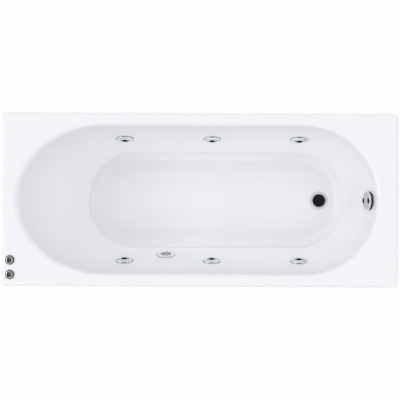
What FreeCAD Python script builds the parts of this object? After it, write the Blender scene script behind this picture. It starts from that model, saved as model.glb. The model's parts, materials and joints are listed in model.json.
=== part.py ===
import FreeCAD
import Part
import math
import os
from collections import namedtuple

from FreeCAD import Matrix, Vector

# Jetted bath for building in, standing on its own levelling feet, without a side panel. Millimetres.
# Frame: +Z up, origin on the floor under the middle of the rim. +X runs towards the waste (the foot end),
# -X towards the sloping backrest (the head end), -Y is the front long side, which has the two deck controls.

# ---------------------------------------------------------------- driving dimensions: bath shell
LENGTH = 1600.0                 # rim, outside
WIDTH = 700.0
RIM_HEIGHT = 580.0              # top of the rim above the floor
SHELL = 6.0                     # acrylic sheet with its glass-fibre backing
SKIRT = 38.0                    # depth of the turned-down outer edge
CORNER_ROUND = 18.0             # rim corners, seen from above
EDGE_ROUND = 13.0               # outer top edge of the rim

DECK_HEAD = 62.0                # flat rim between the bowl mouth and the outside, at each end and along the sides
DECK_FOOT = 82.0
DECK_SIDE = 50.0
MOUTH_HEAD = LENGTH / 2 - DECK_HEAD         # reach of the mouth to the head end, the foot end and each side
MOUTH_FOOT = LENGTH / 2 - DECK_FOOT
MOUTH_HALF = WIDTH / 2 - DECK_SIDE
MOUTH_HEAD_ROUND = 355.0        # length of the half ellipse that closes each end
MOUTH_FOOT_ROUND = 300.0

HEAD_RUN = 247.0                # how far each wall comes in from the mouth to the crease
FOOT_RUN = 75.0
SIDE_RUN = 87.0
WAIST_HEAD = MOUTH_HEAD - HEAD_RUN          # reach of the crease low on the bowl wall, where the wall turns steep
WAIST_FOOT = MOUTH_FOOT - FOOT_RUN
WAIST_HALF = MOUTH_HALF - SIDE_RUN
WAIST_HEAD_ROUND = 200.0
WAIST_FOOT_ROUND = 220.0

UNDERSIDE = 161.0               # flat underside of the stiffened floor, above the ground
FLOOR_THICKNESS = 13.0          # in the middle of the bath
CREASE_RISE = 66.0              # crease above the middle of the bowl floor
FLOOR_FALL = 0.008              # slope of the floor towards the waste
BAND_DRAFT = 0.09               # how far the steep band below the crease still leans in
COVE_RADIUS = 50.0              # floor to wall
WAIST_RADIUS = 10.0             # rounding of the crease
ROLL_SIDE = 13.0                # rim to bowl, along the sides
ROLL_HEAD = 38.0                # rim to bowl, in the middle of the backrest
ROLL_FOOT = 18.0                # rim to bowl, in the middle of the foot end

FIT = 0.3                       # gap between pieces that move against each other
RUNNING = 0.05                  # radial clearance of a stem or shaft in its bearing
NUT = 10.0                      # thickness of the nuts behind the wall
GASKET = 1.0

# ---------------------------------------------------------------- driving dimensions: fittings
JET_HEAD_INSET = 65.0           # three jets a side: the first and the last, past each end of the mouth's straight side
JET_FOOT_INSET = 2.0
JET_ABOVE_MIDDLE = 5.0          # above the middle of the wall between crease and rim
JET_BALL_R = 21.0
JET_BALL_DEPTH = 6.0            # ball centre behind the wall face
JET_MOUTH_OUT = 9.5             # how far the mouth stands out of the wall
JET_LIP = 2.7                   # front of the ball, outside the mouth
JET_NECK_R = JET_BALL_R + 4.0
JET_FLANGE_R = JET_NECK_R + 7.5
JET_RING_R = JET_FLANGE_R + 3.5
JET_RING_HEIGHT = 9.0
JET_CHAMBER_R = JET_NECK_R + 4.0
WATER_PIPE_R = 16.0
PIPE_WALL = 2.0
WATER_PIPE_BORE = WATER_PIPE_R - PIPE_WALL
SOCKET_R = WATER_PIPE_R + 3.5
SOCKET_REACH = JET_CHAMBER_R + 17.0         # end of a socket, from the axis of the jet
JET_NECK_END = 22.0
AIR_PORT_DEPTH = JET_NECK_END + 11.0
WATER_PORT_DEPTH = JET_NECK_END + SOCKET_R + 11.0
JET_CHAMBER_END = WATER_PORT_DEPTH + SOCKET_R + 3.0     # back of the chamber, behind the wall face
AIR_PIPE_R = 8.0
AIR_PIPE_BORE = AIR_PIPE_R - PIPE_WALL
AIR_RISE = 52.0                 # air pipe above the axis of the jet
AIR_BRANCH_R = 6.0
AIR_BRANCH_BORE = 3.5

JET_FIRST_X = MOUTH_HEAD_ROUND - MOUTH_HEAD + JET_HEAD_INSET
JET_LAST_X = MOUTH_FOOT - MOUTH_FOOT_ROUND + JET_FOOT_INSET

SUCTION_OFFSET = 173.0          # past the first jet
SUCTION_X = JET_FIRST_X + SUCTION_OFFSET
SUCTION_RISE = 100.0            # above the crease
SUCTION_RING_R = 38.0
GRILLE_R = 24.0
SUCTION_NECK_R = GRILLE_R + 2.5
SUCTION_NECK_END = 18.0
SUCTION_PIPE_R = 25.0
SUCTION_PIPE_WALL = 2.5
SUCTION_PIPE_BORE = SUCTION_PIPE_R - SUCTION_PIPE_WALL
SUCTION_PORT_DEPTH = SUCTION_NECK_END + SUCTION_PIPE_R + 4.0
SUCTION_REACH = SUCTION_PIPE_R + 31.0       # end of the pipe socket, from the axis of the fitting
SUCTION_STOP = SUCTION_REACH - 20.0         # end of the pipe in it

DRAIN_INSET = 103.0             # from the crease at the foot end
DRAIN_X = WAIST_FOOT - DRAIN_INSET
DRAIN_RECESS = 3.0              # seat of the waste below the floor of the bowl
DRAIN_TUBE_R = 26.0
DRAIN_FLANGE_R = DRAIN_TUBE_R + 13.0
DRAIN_SEAT_R = DRAIN_FLANGE_R + 2.0
PLUG_R = DRAIN_FLANGE_R - 8.0
PLUG_LIFT = 10.0
PLUG_STEM_R = 5.0
WASTE_TAIL_R = 24.0             # tail of the waste body, in the union of the trap

OVERFLOW_DEPTH = 72.0
KNOB_R = 37.5
KNOB_BACK = 11.0                # back of the knob, in front of the wall face
KNOB_THICKNESS = 9.0
OVERFLOW_NECK_R = 23.0
OVERFLOW_FLANGE_R = OVERFLOW_NECK_R + 8.0
OVERFLOW_CHAMBER_R = OVERFLOW_NECK_R + 4.0
OVERFLOW_NECK_END = 20.0
OVERFLOW_HOSE_R = 17.0
OVERFLOW_HOSE_WALL = 3.0
OVERFLOW_HOSE_BORE = OVERFLOW_HOSE_R - OVERFLOW_HOSE_WALL
OVERFLOW_PORT_DEPTH = OVERFLOW_NECK_END + OVERFLOW_HOSE_BORE + 2.0

CONTROL_INSET = 37.0            # from the head end
CONTROL_X = CONTROL_INSET - LENGTH / 2
REGULATOR_INSET = 47.0          # from the front
CONTROL_SPACING = 58.5
REGULATOR_Y = REGULATOR_INSET - WIDTH / 2
BUTTON_Y = REGULATOR_Y + CONTROL_SPACING
CAP_R = 13.0
CONTROL_STEM_R = CAP_R + 2.5
BEZEL_R = CONTROL_STEM_R + 5.5
BEZEL_HEIGHT = 5.0
BUTTON_TRAVEL = 4.0

# ---------------------------------------------------------------- driving dimensions: frame, pump, plumbing
TUBE = 25.0                     # square frame tube
TUBE_WALL = 2.0
TUBE_ROUND = 3.0
BOARD_THICKNESS = 16.0
BOARD_X = (111.0 - WAIST_HEAD, DRAIN_X - 85.0)
RAIL_INSET = 43.0               # inside the crease
RAIL_Y = WAIST_HALF - RAIL_INSET
BOARD_HALF = RAIL_Y + 15.0
RAIL_X = (18.0 - LENGTH / 2, LENGTH / 2 - 58.0)
CROSS_X = (100.0 - LENGTH / 2, 60.0, LENGTH / 2 - 110.0)
CROSS_REACH = WIDTH / 2 - 15.0
BATTEN_WIDTH = 27.0
BATTEN_HEIGHT = 18.0
BATTEN_Y = WIDTH / 2 - 27.0
BATTEN_SHORT = 48.0             # from the end of a batten to the middle of the deck controls
BATTEN_REACH = -CONTROL_X - BATTEN_SHORT
FOOT_Y = WIDTH / 2 - 50.0
FOOT_STEM_R = 6.0
FOOT_PAD_R = 25.0
FOOT_PAD_HEIGHT = 14.0
FOOT_TRAVEL = 20.0
BOSS_R = 11.0
BOSS_DROP = 7.0                 # how far a foot's boss hangs below its cross member

RAIL_TOP = UNDERSIDE - BOARD_THICKNESS
CROSS_TOP = RAIL_TOP - TUBE
PUMP_X = 110.0 - LENGTH / 2
PUMP_RISE = 100.0               # axis above the rails
PUMP_AXIS_Z = RAIL_TOP + PUMP_RISE
PUMP_FRONT = -115.0             # front face of the pump casing
IMPELLER_R = 55.0
CAVITY_R = IMPELLER_R + 5.0
VOLUTE_R = CAVITY_R + 16.0
VOLUTE_DEPTH = 64.0
MOTOR_R = 48.0
FIN_HEIGHT = 6.0
FIN_COUNT = 24
MOTOR_LENGTH = 225.0            # back of the motor, from the front of the pump
COWL_R = MOTOR_R + 14.0
COWL_START = MOTOR_LENGTH - 13.0
COWL_END = MOTOR_LENGTH + 37.0
SHAFT_R = 7.0
SWITCH_X = (-48.0, 24.0)        # switch box on the motor, from the axis of the pump
SWITCH_LENGTH = 90.0
SWITCH_END = PUMP_FRONT + COWL_START - 1.0
SWITCH_HEIGHT = 50.0
GLAND_BORE = 4.5
PLATE_HALF = 75.0
PLATE = 3.0
MOUNT_HEIGHT = 15.0
MOUNT_X = 38.0
MOUNT_Y = (4.0, PUMP_FRONT + COWL_START - 13.0)
DELIVERY_OFFSET = 40.0          # pump outlet, beside the axis
DELIVERY_END = PUMP_AXIS_Z + 100.0
UNION_X = PUMP_X + 130.0        # pipes from the pump meet the jet lines here
AIR_TURN_X = PUMP_X
WATER_BEND = 48.0
SUCTION_BENDS = (70.0, 62.0)
AIR_BEND = 32.0
AIR_LOOP_BEND = 60.0

Level = namedtuple("Level", "z head foot half head_round foot_round")
MOUTH = Level(RIM_HEIGHT, MOUTH_HEAD, MOUTH_FOOT, MOUTH_HALF, MOUTH_HEAD_ROUND, MOUTH_FOOT_ROUND)
WAIST = Level(UNDERSIDE + FLOOR_THICKNESS + CREASE_RISE, WAIST_HEAD, WAIST_FOOT, WAIST_HALF,
              WAIST_HEAD_ROUND, WAIST_FOOT_ROUND)
X_AXIS = Vector(1, 0, 0)
Y_AXIS = Vector(0, 1, 0)
Z_AXIS = Vector(0, 0, 1)
FRONT, REAR = -1, 1


# ---------------------------------------------------------------- small tools
def rod(radius, start, end):
    """Cylinder between two points."""
    return Part.makeCylinder(radius, (end - start).Length, start, end - start)


def pillar(radius, z0, z1, x=0.0, y=0.0):
    return Part.makeCylinder(radius, z1 - z0, Vector(x, y, z0))


def block(x0, x1, y0, y1, z0, z1):
    return Part.makeBox(x1 - x0, y1 - y0, z1 - z0, Vector(x0, y0, z0))


def turned(*profile):
    """Solid of revolution about Z. Each step of the profile is (r, z), or (rm, zm, r, z) for an arc."""
    edges = []
    here = Vector(profile[0][0], 0, profile[0][1])
    for step in profile[1:] + profile[:1]:
        there = Vector(step[-2], 0, step[-1])
        if len(step) == 4:
            edges.append(Part.Arc(here, Vector(step[0], 0, step[1]), there).toShape())
        elif there.distanceToPoint(here) > 1e-7:
            edges.append(Part.makeLine(here, there))
        here = there
    return Part.Face(Part.Wire(edges)).revolve(Vector(), Z_AXIS, 360)


def dome(radius, z0, z1):
    """Arc step for turned(): from (radius, z0) to the axis at z1, as part of a ball centred on the axis."""
    rise = z1 - z0
    ball = (radius ** 2 + rise ** 2) / (2 * rise)
    half = math.asin(radius / ball) / 2
    return ball * math.sin(half), z1 - ball * (1 - math.cos(half)), 0, z1


def washer(outer, inner, z0, z1):
    return pillar(outer, z0, z1).cut(pillar(inner, z0, z1))


def nut(sides, across_flats, z0, z1, bore):
    corner = across_flats / 2 / math.cos(math.pi / sides)
    turns = [2 * math.pi * (k + 0.5) / sides for k in range(sides)]
    points = [Vector(corner * math.cos(a), corner * math.sin(a), z0) for a in turns]
    body = Part.Face(Part.makePolygon(points + points[:1])).extrude(Vector(0, 0, z1 - z0))
    return body.cut(pillar(bore, z0, z1))


def route(points, radii):
    """Straight runs joined by tangent arcs, as one wire."""
    edges = []
    here = points[0]
    for before, corner, after, radius in zip(points, points[1:], points[2:], radii):
        into = (corner - before).normalize()
        out = (after - corner).normalize()
        turn = into.getAngle(out)
        reach = radius * math.tan(turn / 2)
        first = corner - into * reach
        last = corner + out * reach
        inward = (out - into).normalize()
        middle = corner + inward * (radius / math.cos(turn / 2) - radius)
        if first.distanceToPoint(here) > 1e-6:
            edges.append(Part.makeLine(here, first))
        edges.append(Part.Arc(first, middle, last).toShape())
        here = last
    edges.append(Part.makeLine(here, points[-1]))
    return Part.Wire(edges)


def swept(points, radii, radius):
    """Round bar along a route."""
    ring = Part.Wire(Part.Circle(points[0], points[1] - points[0], radius).toShape())
    return route(points, radii).makePipeShell([ring], True, False)


def seat_frame(origin, x_axis, z_axis):
    """Placement that carries a fitting from its own axes to its seat. Its +Z points into the bath."""
    y_axis = z_axis.cross(x_axis)
    return FreeCAD.Placement(Matrix(
        x_axis.x, y_axis.x, z_axis.x, origin.x,
        x_axis.y, y_axis.y, z_axis.y, origin.y,
        x_axis.z, y_axis.z, z_axis.z, origin.z,
        0, 0, 0, 1,
    ))


def placed(shape, placement):
    copy = shape.copy()
    copy.Placement = placement.multiply(copy.Placement)
    return copy


def around(count, make):
    """One copy for each turn about Z."""
    copies = []
    for k in range(count):
        copy = make.copy()
        copy.rotate(Vector(), Z_AXIS, 360.0 * k / count)
        copies.append(copy)
    return copies


# ---------------------------------------------------------------- bath shell
SIDE_LEAN = SIDE_RUN / (MOUTH.z - WAIST.z)      # sideways travel for each millimetre of height
HEAD_LEAN = HEAD_RUN / (MOUTH.z - WAIST.z)
FOOT_LEAN = FOOT_RUN / (MOUTH.z - WAIST.z)


def level_at(z):
    """Bowl outline at a height between the crease and the rim."""
    share = (z - WAIST.z) / (MOUTH.z - WAIST.z)
    return Level(z, *[low + share * (high - low) for low, high in zip(WAIST[1:], MOUTH[1:])])


def grown(level, thickness):
    """The same outline on the outside of the shell."""
    head = thickness * math.hypot(1, HEAD_LEAN)
    foot = thickness * math.hypot(1, FOOT_LEAN)
    side = thickness * math.hypot(1, SIDE_LEAN)
    return Level(level.z, level.head + head, level.foot + foot, level.half + side,
                 level.head_round + head, level.foot_round + foot)


def quarter_ellipse(centre_x, z, reach, half, quarter):
    """Quarter of an ellipse, drawn as a stretched circle."""
    unit = Part.ArcOfCircle(Part.Circle(), quarter * math.pi / 2, (quarter + 1) * math.pi / 2).toShape()
    return unit.transformGeometry(Matrix(reach, 0, 0, centre_x, 0, half, 0, 0, 0, 0, 1, z, 0, 0, 0, 1)).Edges[0]


def outline(level):
    """Closed outline: two straight sides closed by half ellipses."""
    z, half = level.z, level.half
    head = -level.head + level.head_round
    foot = level.foot - level.foot_round
    return Part.Wire([
        quarter_ellipse(foot, z, level.foot_round, half, 3),
        quarter_ellipse(foot, z, level.foot_round, half, 0),
        Part.makeLine(Vector(foot, half, z), Vector(head, half, z)),
        quarter_ellipse(head, z, level.head_round, half, 1),
        quarter_ellipse(head, z, level.head_round, half, 2),
        Part.makeLine(Vector(head, -half, z), Vector(foot, -half, z)),
    ])


def between(upper, lower):
    """Solid between two outlines: flat side walls, ruled surfaces round both ends."""
    faces = [Part.Face(upper), Part.Face(lower)]
    for high, low in zip(upper.Edges, lower.Edges):
        if high.Curve.TypeId == "Part::GeomLine":
            a, b = [v.Point for v in high.Vertexes]
            c, d = sorted([v.Point for v in low.Vertexes], key=lambda p: p.distanceToPoint(a))
            faces.append(Part.Face(Part.makePolygon([a, b, d, c, a])))
        else:
            faces.append(Part.makeRuledSurface(high, low))
    shell = Part.makeShell(Part.makeCompound(faces).Faces)
    shell.sewShape()
    return Part.makeSolid(shell)


def floor_height(x):
    return UNDERSIDE + FLOOR_THICKNESS - FLOOR_FALL * x


def bowl(thickness, top):
    """Space inside the shell (thickness 0), or everything up to its outside."""
    waist = grown(WAIST, thickness)
    tuck = (WAIST.z - UNDERSIDE) * BAND_DRAFT
    low = Level(UNDERSIDE, *[value - tuck for value in waist[1:]])
    band = between(outline(waist), outline(low))
    if not thickness:
        below = block(-LENGTH, LENGTH, -WIDTH, WIDTH, -RIM_HEIGHT, 0)
        below.rotate(Vector(), Y_AXIS, math.degrees(math.atan(FLOOR_FALL)))
        below.translate(Vector(0, 0, floor_height(0)))
        band = band.cut(below)
    solid = between(outline(grown(level_at(top), thickness)), outline(waist)).fuse(band)
    bottom = UNDERSIDE if thickness else floor_height(-WAIST_HEAD)
    cove = [e for e in solid.Edges if e.BoundBox.ZMax < bottom + COVE_RADIUS / 2]
    solid = solid.makeFillet(COVE_RADIUS + thickness, cove)
    if thickness:
        return solid
    crease = [e for e in solid.Edges if abs(e.BoundBox.ZMax - WAIST.z) < 0.01 and e.BoundBox.ZLength < 0.01]
    return solid.makeFillet(WAIST_RADIUS, crease)


def rim_slab(inset, top, bottom):
    """Rounded slab of the rim, or the hollow under it."""
    slab = block(inset - LENGTH / 2, LENGTH / 2 - inset, inset - WIDTH / 2, WIDTH / 2 - inset, bottom, top)
    slab = slab.makeFillet(CORNER_ROUND - inset, [e for e in slab.Edges if e.BoundBox.ZLength > 1])
    return slab.makeFillet(EDGE_ROUND - inset, [e for e in slab.Edges if e.BoundBox.ZMin > top - 0.01])


def mouth_edge(piece, level):
    """The edge of the bowl mouth on one piece of the shell."""
    far_x = max(level.head, level.foot) + 5
    return [e for e in piece.Edges if e.BoundBox.ZLength < 0.01 and abs(e.BoundBox.ZMax - level.z) < 0.01
            and e.Length > 100 and max(abs(e.BoundBox.XMin), abs(e.BoundBox.XMax)) < far_x
            and 1 < e.BoundBox.YMax < level.half + 5][0]


def rolled(piece, level, head_end, foot_end):
    """Rounds the mouth of one piece, with the radius changing from its head end to its foot end."""
    edge = mouth_edge(piece, level)
    start, finish = edge.valueAt(edge.FirstParameter), edge.valueAt(edge.LastParameter)
    if head_end == foot_end:
        return piece.makeFillet(head_end, [edge])
    if start.x < finish.x:
        return piece.makeFillet(head_end, foot_end, [edge])
    return piece.makeFillet(foot_end, head_end, [edge])


def shell_blank():
    """Rim and bowl in one skin: the mouth is tight along the sides, soft at the backrest and the foot end."""
    rim = rim_slab(0, RIM_HEIGHT, RIM_HEIGHT - SKIRT)
    rim = rim.cut(rim_slab(SHELL, RIM_HEIGHT - SHELL, RIM_HEIGHT - SKIRT - 1))
    blank = rim.fuse(bowl(SHELL, RIM_HEIGHT - SHELL / 2)).cut(bowl(0.0, RIM_HEIGHT))
    head_x = MOUTH_HEAD_ROUND - MOUTH_HEAD
    foot_x = MOUTH_FOOT - MOUTH_FOOT_ROUND
    pieces = []
    for x0, x1, head_end, foot_end in (
        (-LENGTH, head_x, ROLL_HEAD, ROLL_SIDE),
        (head_x, foot_x, ROLL_SIDE, ROLL_SIDE),
        (foot_x, LENGTH, ROLL_SIDE, ROLL_FOOT),
    ):
        piece = blank.common(block(x0, x1, 0, WIDTH, 0, RIM_HEIGHT + 1))
        piece = rolled(piece, MOUTH, head_end, foot_end)
        if head_end == ROLL_HEAD:
            under = grown(level_at(RIM_HEIGHT - SHELL), SHELL)
            piece = rolled(piece, under, head_end - SHELL, foot_end - SHELL)
        pieces.append(piece)
    half = pieces[0].fuse(pieces[1:])
    return half.fuse(half.mirror(Vector(), Y_AXIS))


def wall_seat(side, x, z):
    """Seat on a long side wall. The fitting's +Z points into the bath and its +Y up the wall."""
    y = side * (WAIST_HALF + (z - WAIST.z) * SIDE_LEAN)
    lean = math.atan(SIDE_LEAN)
    return seat_frame(Vector(x, y, z), Vector(side, 0, 0), Vector(0, -side * math.cos(lean), math.sin(lean)))


def end_seat(depth):
    """Seat in the middle of the foot-end wall, with its +Y up the wall."""
    z = RIM_HEIGHT - depth
    lean = math.atan(FOOT_LEAN)
    origin = Vector(WAIST_FOOT + (z - WAIST.z) * FOOT_LEAN, 0, z)
    return seat_frame(origin, Vector(0, -1, 0), Vector(-math.cos(lean), 0, math.sin(lean)))


JET_XS = [JET_FIRST_X, (JET_FIRST_X + JET_LAST_X) / 2, JET_LAST_X]
JET_Z = (WAIST.z + MOUTH.z) / 2 + JET_ABOVE_MIDDLE
JET_SEATS = {side: [wall_seat(side, x, JET_Z) for x in JET_XS] for side in (FRONT, REAR)}
SUCTION_SEAT = wall_seat(FRONT, SUCTION_X, WAIST.z + SUCTION_RISE)
OVERFLOW_SEAT = end_seat(OVERFLOW_DEPTH)
DRAIN_TOP = floor_height(DRAIN_X)
DRAIN_SEAT = FreeCAD.Placement(Vector(DRAIN_X, 0, DRAIN_TOP), FreeCAD.Rotation())
BUTTON_SEAT = FreeCAD.Placement(Vector(CONTROL_X, BUTTON_Y, RIM_HEIGHT), FreeCAD.Rotation())
REGULATOR_SEAT = FreeCAD.Placement(Vector(CONTROL_X, REGULATOR_Y, RIM_HEIGHT), FreeCAD.Rotation())
HOLE_GAP = 0.5


def tub_shell():
    """Moulded shell with a flat seat under each fitting that would otherwise lie on a curve."""
    shell = shell_blank()
    pads = [(OVERFLOW_SEAT, OVERFLOW_FLANGE_R + 2.5)]
    pads += [(seat, JET_RING_R + 1.5) for seats in JET_SEATS.values() for seat in (seats[0], seats[2])]
    shell = shell.fuse([placed(pillar(radius + 1, -SHELL, -SHELL + 3), seat) for seat, radius in pads])
    cuts = [placed(pillar(radius, 0, 4), seat) for seat, radius in pads]
    cuts += [placed(pillar(OVERFLOW_NECK_R + HOLE_GAP, -2 * SHELL, SHELL), OVERFLOW_SEAT),
             placed(pillar(SUCTION_NECK_R + HOLE_GAP, -2 * SHELL, SHELL), SUCTION_SEAT),
             placed(Part.makeCone(DRAIN_SEAT_R, DRAIN_SEAT_R + DRAIN_RECESS + 1, DRAIN_RECESS + 1,
                                  Vector(0, 0, -DRAIN_RECESS)), DRAIN_SEAT),
             placed(pillar(DRAIN_TUBE_R + HOLE_GAP, -3 * SHELL, SHELL), DRAIN_SEAT)]
    for seats in JET_SEATS.values():
        cuts += [placed(pillar(JET_NECK_R + HOLE_GAP, -2 * SHELL, SHELL), seat) for seat in seats]
    cuts += [placed(pillar(CONTROL_STEM_R + HOLE_GAP, -2 * SHELL, SHELL), seat)
             for seat in (BUTTON_SEAT, REGULATOR_SEAT)]
    for cut in cuts:
        shell = shell.cut(cut)
    return shell


# ---------------------------------------------------------------- jets
BALL_SEAT_R = JET_BALL_R + FIT


def on_ball(radius, height):
    """Radius of the ball, or of its seat, at a height over the wall face."""
    return math.sqrt(radius ** 2 - (height + JET_BALL_DEPTH) ** 2)


JET_MOUTH_R = on_ball(JET_BALL_R, JET_MOUTH_OUT) - JET_LIP

def jet_body(ports):
    """Body of a jet: flange in the bath, ball seat in the neck, water and air chamber behind the wall."""
    lip, back = 2.5, -16.0
    neck_end, wall = -JET_NECK_END, 3.0
    end = -JET_CHAMBER_END
    body = turned(
        (on_ball(BALL_SEAT_R, lip), lip), (JET_FLANGE_R, lip), (JET_FLANGE_R, 0), (JET_NECK_R, 0),
        (JET_NECK_R, neck_end), (JET_CHAMBER_R, neck_end), (JET_CHAMBER_R, end), (0, end),
        (0, end + wall), (JET_CHAMBER_R - wall, end + wall), (JET_CHAMBER_R - wall, neck_end - wall),
        (on_ball(BALL_SEAT_R, back), neck_end + 2), (on_ball(BALL_SEAT_R, back), back),
        (BALL_SEAT_R, -JET_BALL_DEPTH, on_ball(BALL_SEAT_R, lip), lip),
    )
    deep = -WATER_PORT_DEPTH
    inner = JET_CHAMBER_R - wall
    for way in ports:
        body = body.fuse(rod(SOCKET_R, Vector(way * inner, 0, deep), Vector(way * SOCKET_REACH, 0, deep)))
    air = lambda radius, start: rod(radius, Vector(0, start, -AIR_PORT_DEPTH),
                                    Vector(0, JET_CHAMBER_R + 9, -AIR_PORT_DEPTH))
    body = body.fuse(air(AIR_BRANCH_R, inner))
    body = body.cut(pillar(inner, end + wall, neck_end - wall))
    for way in ports:
        body = body.cut(rod(WATER_PIPE_BORE, Vector(way * 10, 0, deep), Vector(way * SOCKET_REACH, 0, deep)))
        body = body.cut(rod(WATER_PIPE_R, Vector(way * JET_CHAMBER_R, 0, deep),
                            Vector(way * SOCKET_REACH, 0, deep)))
    return body.cut(air(AIR_BRANCH_BORE, inner - 6))


def jet_ring():
    """Turning front ring: closes over the flange and frames the ball."""
    top, bore = JET_RING_HEIGHT, JET_BALL_R - 1.1
    under = 2.5 + FIT
    return turned(
        (bore, under), (JET_FLANGE_R + FIT, under), (JET_FLANGE_R + FIT, FIT), (JET_RING_R, FIT),
        (JET_RING_R, 2.0), (JET_RING_R - 1.4, 5.6, JET_RING_R - 5.0, 7.2), (bore + 4.6, top - 0.2),
        (bore + 3.1, top, bore + 1.7, top - 0.6), (bore, top - 3.0),
    )


def jet_nozzle():
    """Directional ball with a bore that narrows to the mouth."""
    front, back = JET_MOUTH_OUT, -JET_BALL_DEPTH - 13.0
    lip = 1.2
    return turned(
        (JET_MOUTH_R, front - 6), (JET_MOUTH_R, front - lip), (JET_MOUTH_R + lip, front),
        (on_ball(JET_BALL_R, front), front), (JET_BALL_R, -JET_BALL_DEPTH, on_ball(JET_BALL_R, back), back),
        (on_ball(JET_BALL_R, back) - 2.5, back), (8.0, front - 14),
    )


def wall_nut(neck, grip):
    """Eight-sided nut behind the wall, over its gasket."""
    face = -SHELL - GASKET
    return nut(8, 2 * (neck + grip), face - NUT, face, neck)


def wall_gasket(neck, width):
    return washer(neck + width, neck, -SHELL - GASKET, -SHELL)


# ---------------------------------------------------------------- suction
def suction_body():
    """Suction fitting: ring flange with a seat for the grille, chamber and pipe socket behind the wall."""
    wall = 3.5
    inner = SUCTION_NECK_R - wall
    neck_end, end = -SUCTION_NECK_END, -SUCTION_PORT_DEPTH - SUCTION_PIPE_R - 8.0
    chamber = SUCTION_PIPE_R + 5.5
    body = turned(
        (inner, 2.0), (GRILLE_R + 0.1, 2.0), (GRILLE_R + 0.1, 5.5),
        (GRILLE_R + 4.5, 7.2, SUCTION_RING_R - 4.5, 5.2), (SUCTION_RING_R - 1.2, 3.6, SUCTION_RING_R, 1.0),
        (SUCTION_RING_R, 0), (SUCTION_NECK_R, 0), (SUCTION_NECK_R, neck_end), (chamber, neck_end), (chamber, end),
        (0, end), (0, end + wall), (chamber - wall, end + wall), (chamber - wall, neck_end - wall), (inner, neck_end),
    )
    deep = -SUCTION_PORT_DEPTH
    port = SUCTION_PIPE_R + 3.0
    out = lambda radius, start: rod(radius, Vector(start, 0, deep), Vector(SUCTION_REACH, 0, deep))
    body = body.fuse(out(port, chamber - 12.5))
    body = body.cut(pillar(chamber - wall, end + wall, neck_end - wall))
    return body.cut(out(SUCTION_PIPE_BORE, 5)).cut(out(SUCTION_PIPE_R, SUCTION_STOP))


def suction_grille():
    """Low dome with rings of holes that keeps hair and fingers out of the pipe."""
    cap = turned((0, 2.0), (GRILLE_R, 2.0), (GRILLE_R, 4.4), dome(GRILLE_R, 4.4, 7.0))
    holes = [pillar(1.5, 0, 9)]
    for count, inset in ((6, 17.5), (12, 11.5), (18, 5.5)):
        holes += around(count, pillar(1.9, 0, 9, GRILLE_R - inset))
    return cap.cut(holes)


# ---------------------------------------------------------------- waste and overflow
DRAIN_UNDER = UNDERSIDE - DRAIN_TOP          # underside of the floor, from the top of the waste
BODY_TOP = DRAIN_UNDER - GASKET
BODY_END = -76.0
DRAIN_PORT = -52.0
WASTE_BODY_R = DRAIN_TUBE_R + 7.0


def drain_flange():
    """Waste flange with a dished seat, threaded tail and the cross that guides the plug."""
    tail = -40.0
    ring = turned(
        (DRAIN_TUBE_R - 3, tail), (DRAIN_TUBE_R, tail), (DRAIN_TUBE_R, -DRAIN_RECESS),
        (DRAIN_FLANGE_R, -DRAIN_RECESS), (DRAIN_FLANGE_R, -0.8), (DRAIN_FLANGE_R - 0.8, 0), (DRAIN_FLANGE_R - 5.5, 0),
        (DRAIN_TUBE_R - 3, -2.6),
    )
    rib = block(6, DRAIN_TUBE_R - 2.5, -1.5, 1.5, -26, -14)
    hub = pillar(8.5, -30, -12)
    return ring.fuse(around(3, rib) + [hub]).cut(pillar(PLUG_STEM_R + RUNNING, -40, 0))


def drain_plug():
    """Pop-up plug: dished cap on the seat of the flange and a stem in its guide."""
    cap = turned((0, -1.6), (PLUG_R - 6.5, -1.6), (PLUG_R - 1, 0.6), (PLUG_R, 1.8), (PLUG_R - 0.4, 3.2, PLUG_R - 1.6, 3.8),
                 dome(PLUG_R - 1.6, 3.8, 5.2))
    return cap.fuse(turned((0, -44), (PLUG_STEM_R - 1, -44), (PLUG_STEM_R, -43), (PLUG_STEM_R, -1), (0, -1)))


def drain_body():
    """Waste body under the floor, with the overflow's branch on the foot-end side."""
    outer, wall, tail = WASTE_BODY_R, 3.0, WASTE_TAIL_R
    body = turned(
        (DRAIN_TUBE_R, BODY_TOP), (outer + 3, BODY_TOP), (outer + 3, BODY_TOP - 6), (outer, BODY_TOP - 8),
        (outer, BODY_END + 14), (tail, BODY_END + 6), (tail, BODY_END), (tail - wall, BODY_END),
        (tail - wall, BODY_END + 8),
        (outer - wall, BODY_END + 16), (outer - wall, -36), (DRAIN_TUBE_R, -32),
    )
    port = OVERFLOW_HOSE_BORE
    body = body.fuse(rod(port, Vector(outer - 5, 0, DRAIN_PORT), Vector(outer + 22, 0, DRAIN_PORT)))
    body = body.cut(rod(port - 2, Vector(outer - 12, 0, DRAIN_PORT), Vector(outer + 22, 0, DRAIN_PORT)))
    return body.cut(pillar(outer - wall, BODY_END + 16, -36))


TRAP_TOP = DRAIN_TOP + BODY_END
TRAP_BOTTOM = 26.0
OUTLET_Z = TRAP_BOTTOM + 34.0
OUTLET_END = LENGTH / 2 - 84.0
OUTLET_BORE = 20.15
OUTLET_SOCKET = 30.0
TRAP_R = 44.0


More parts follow.
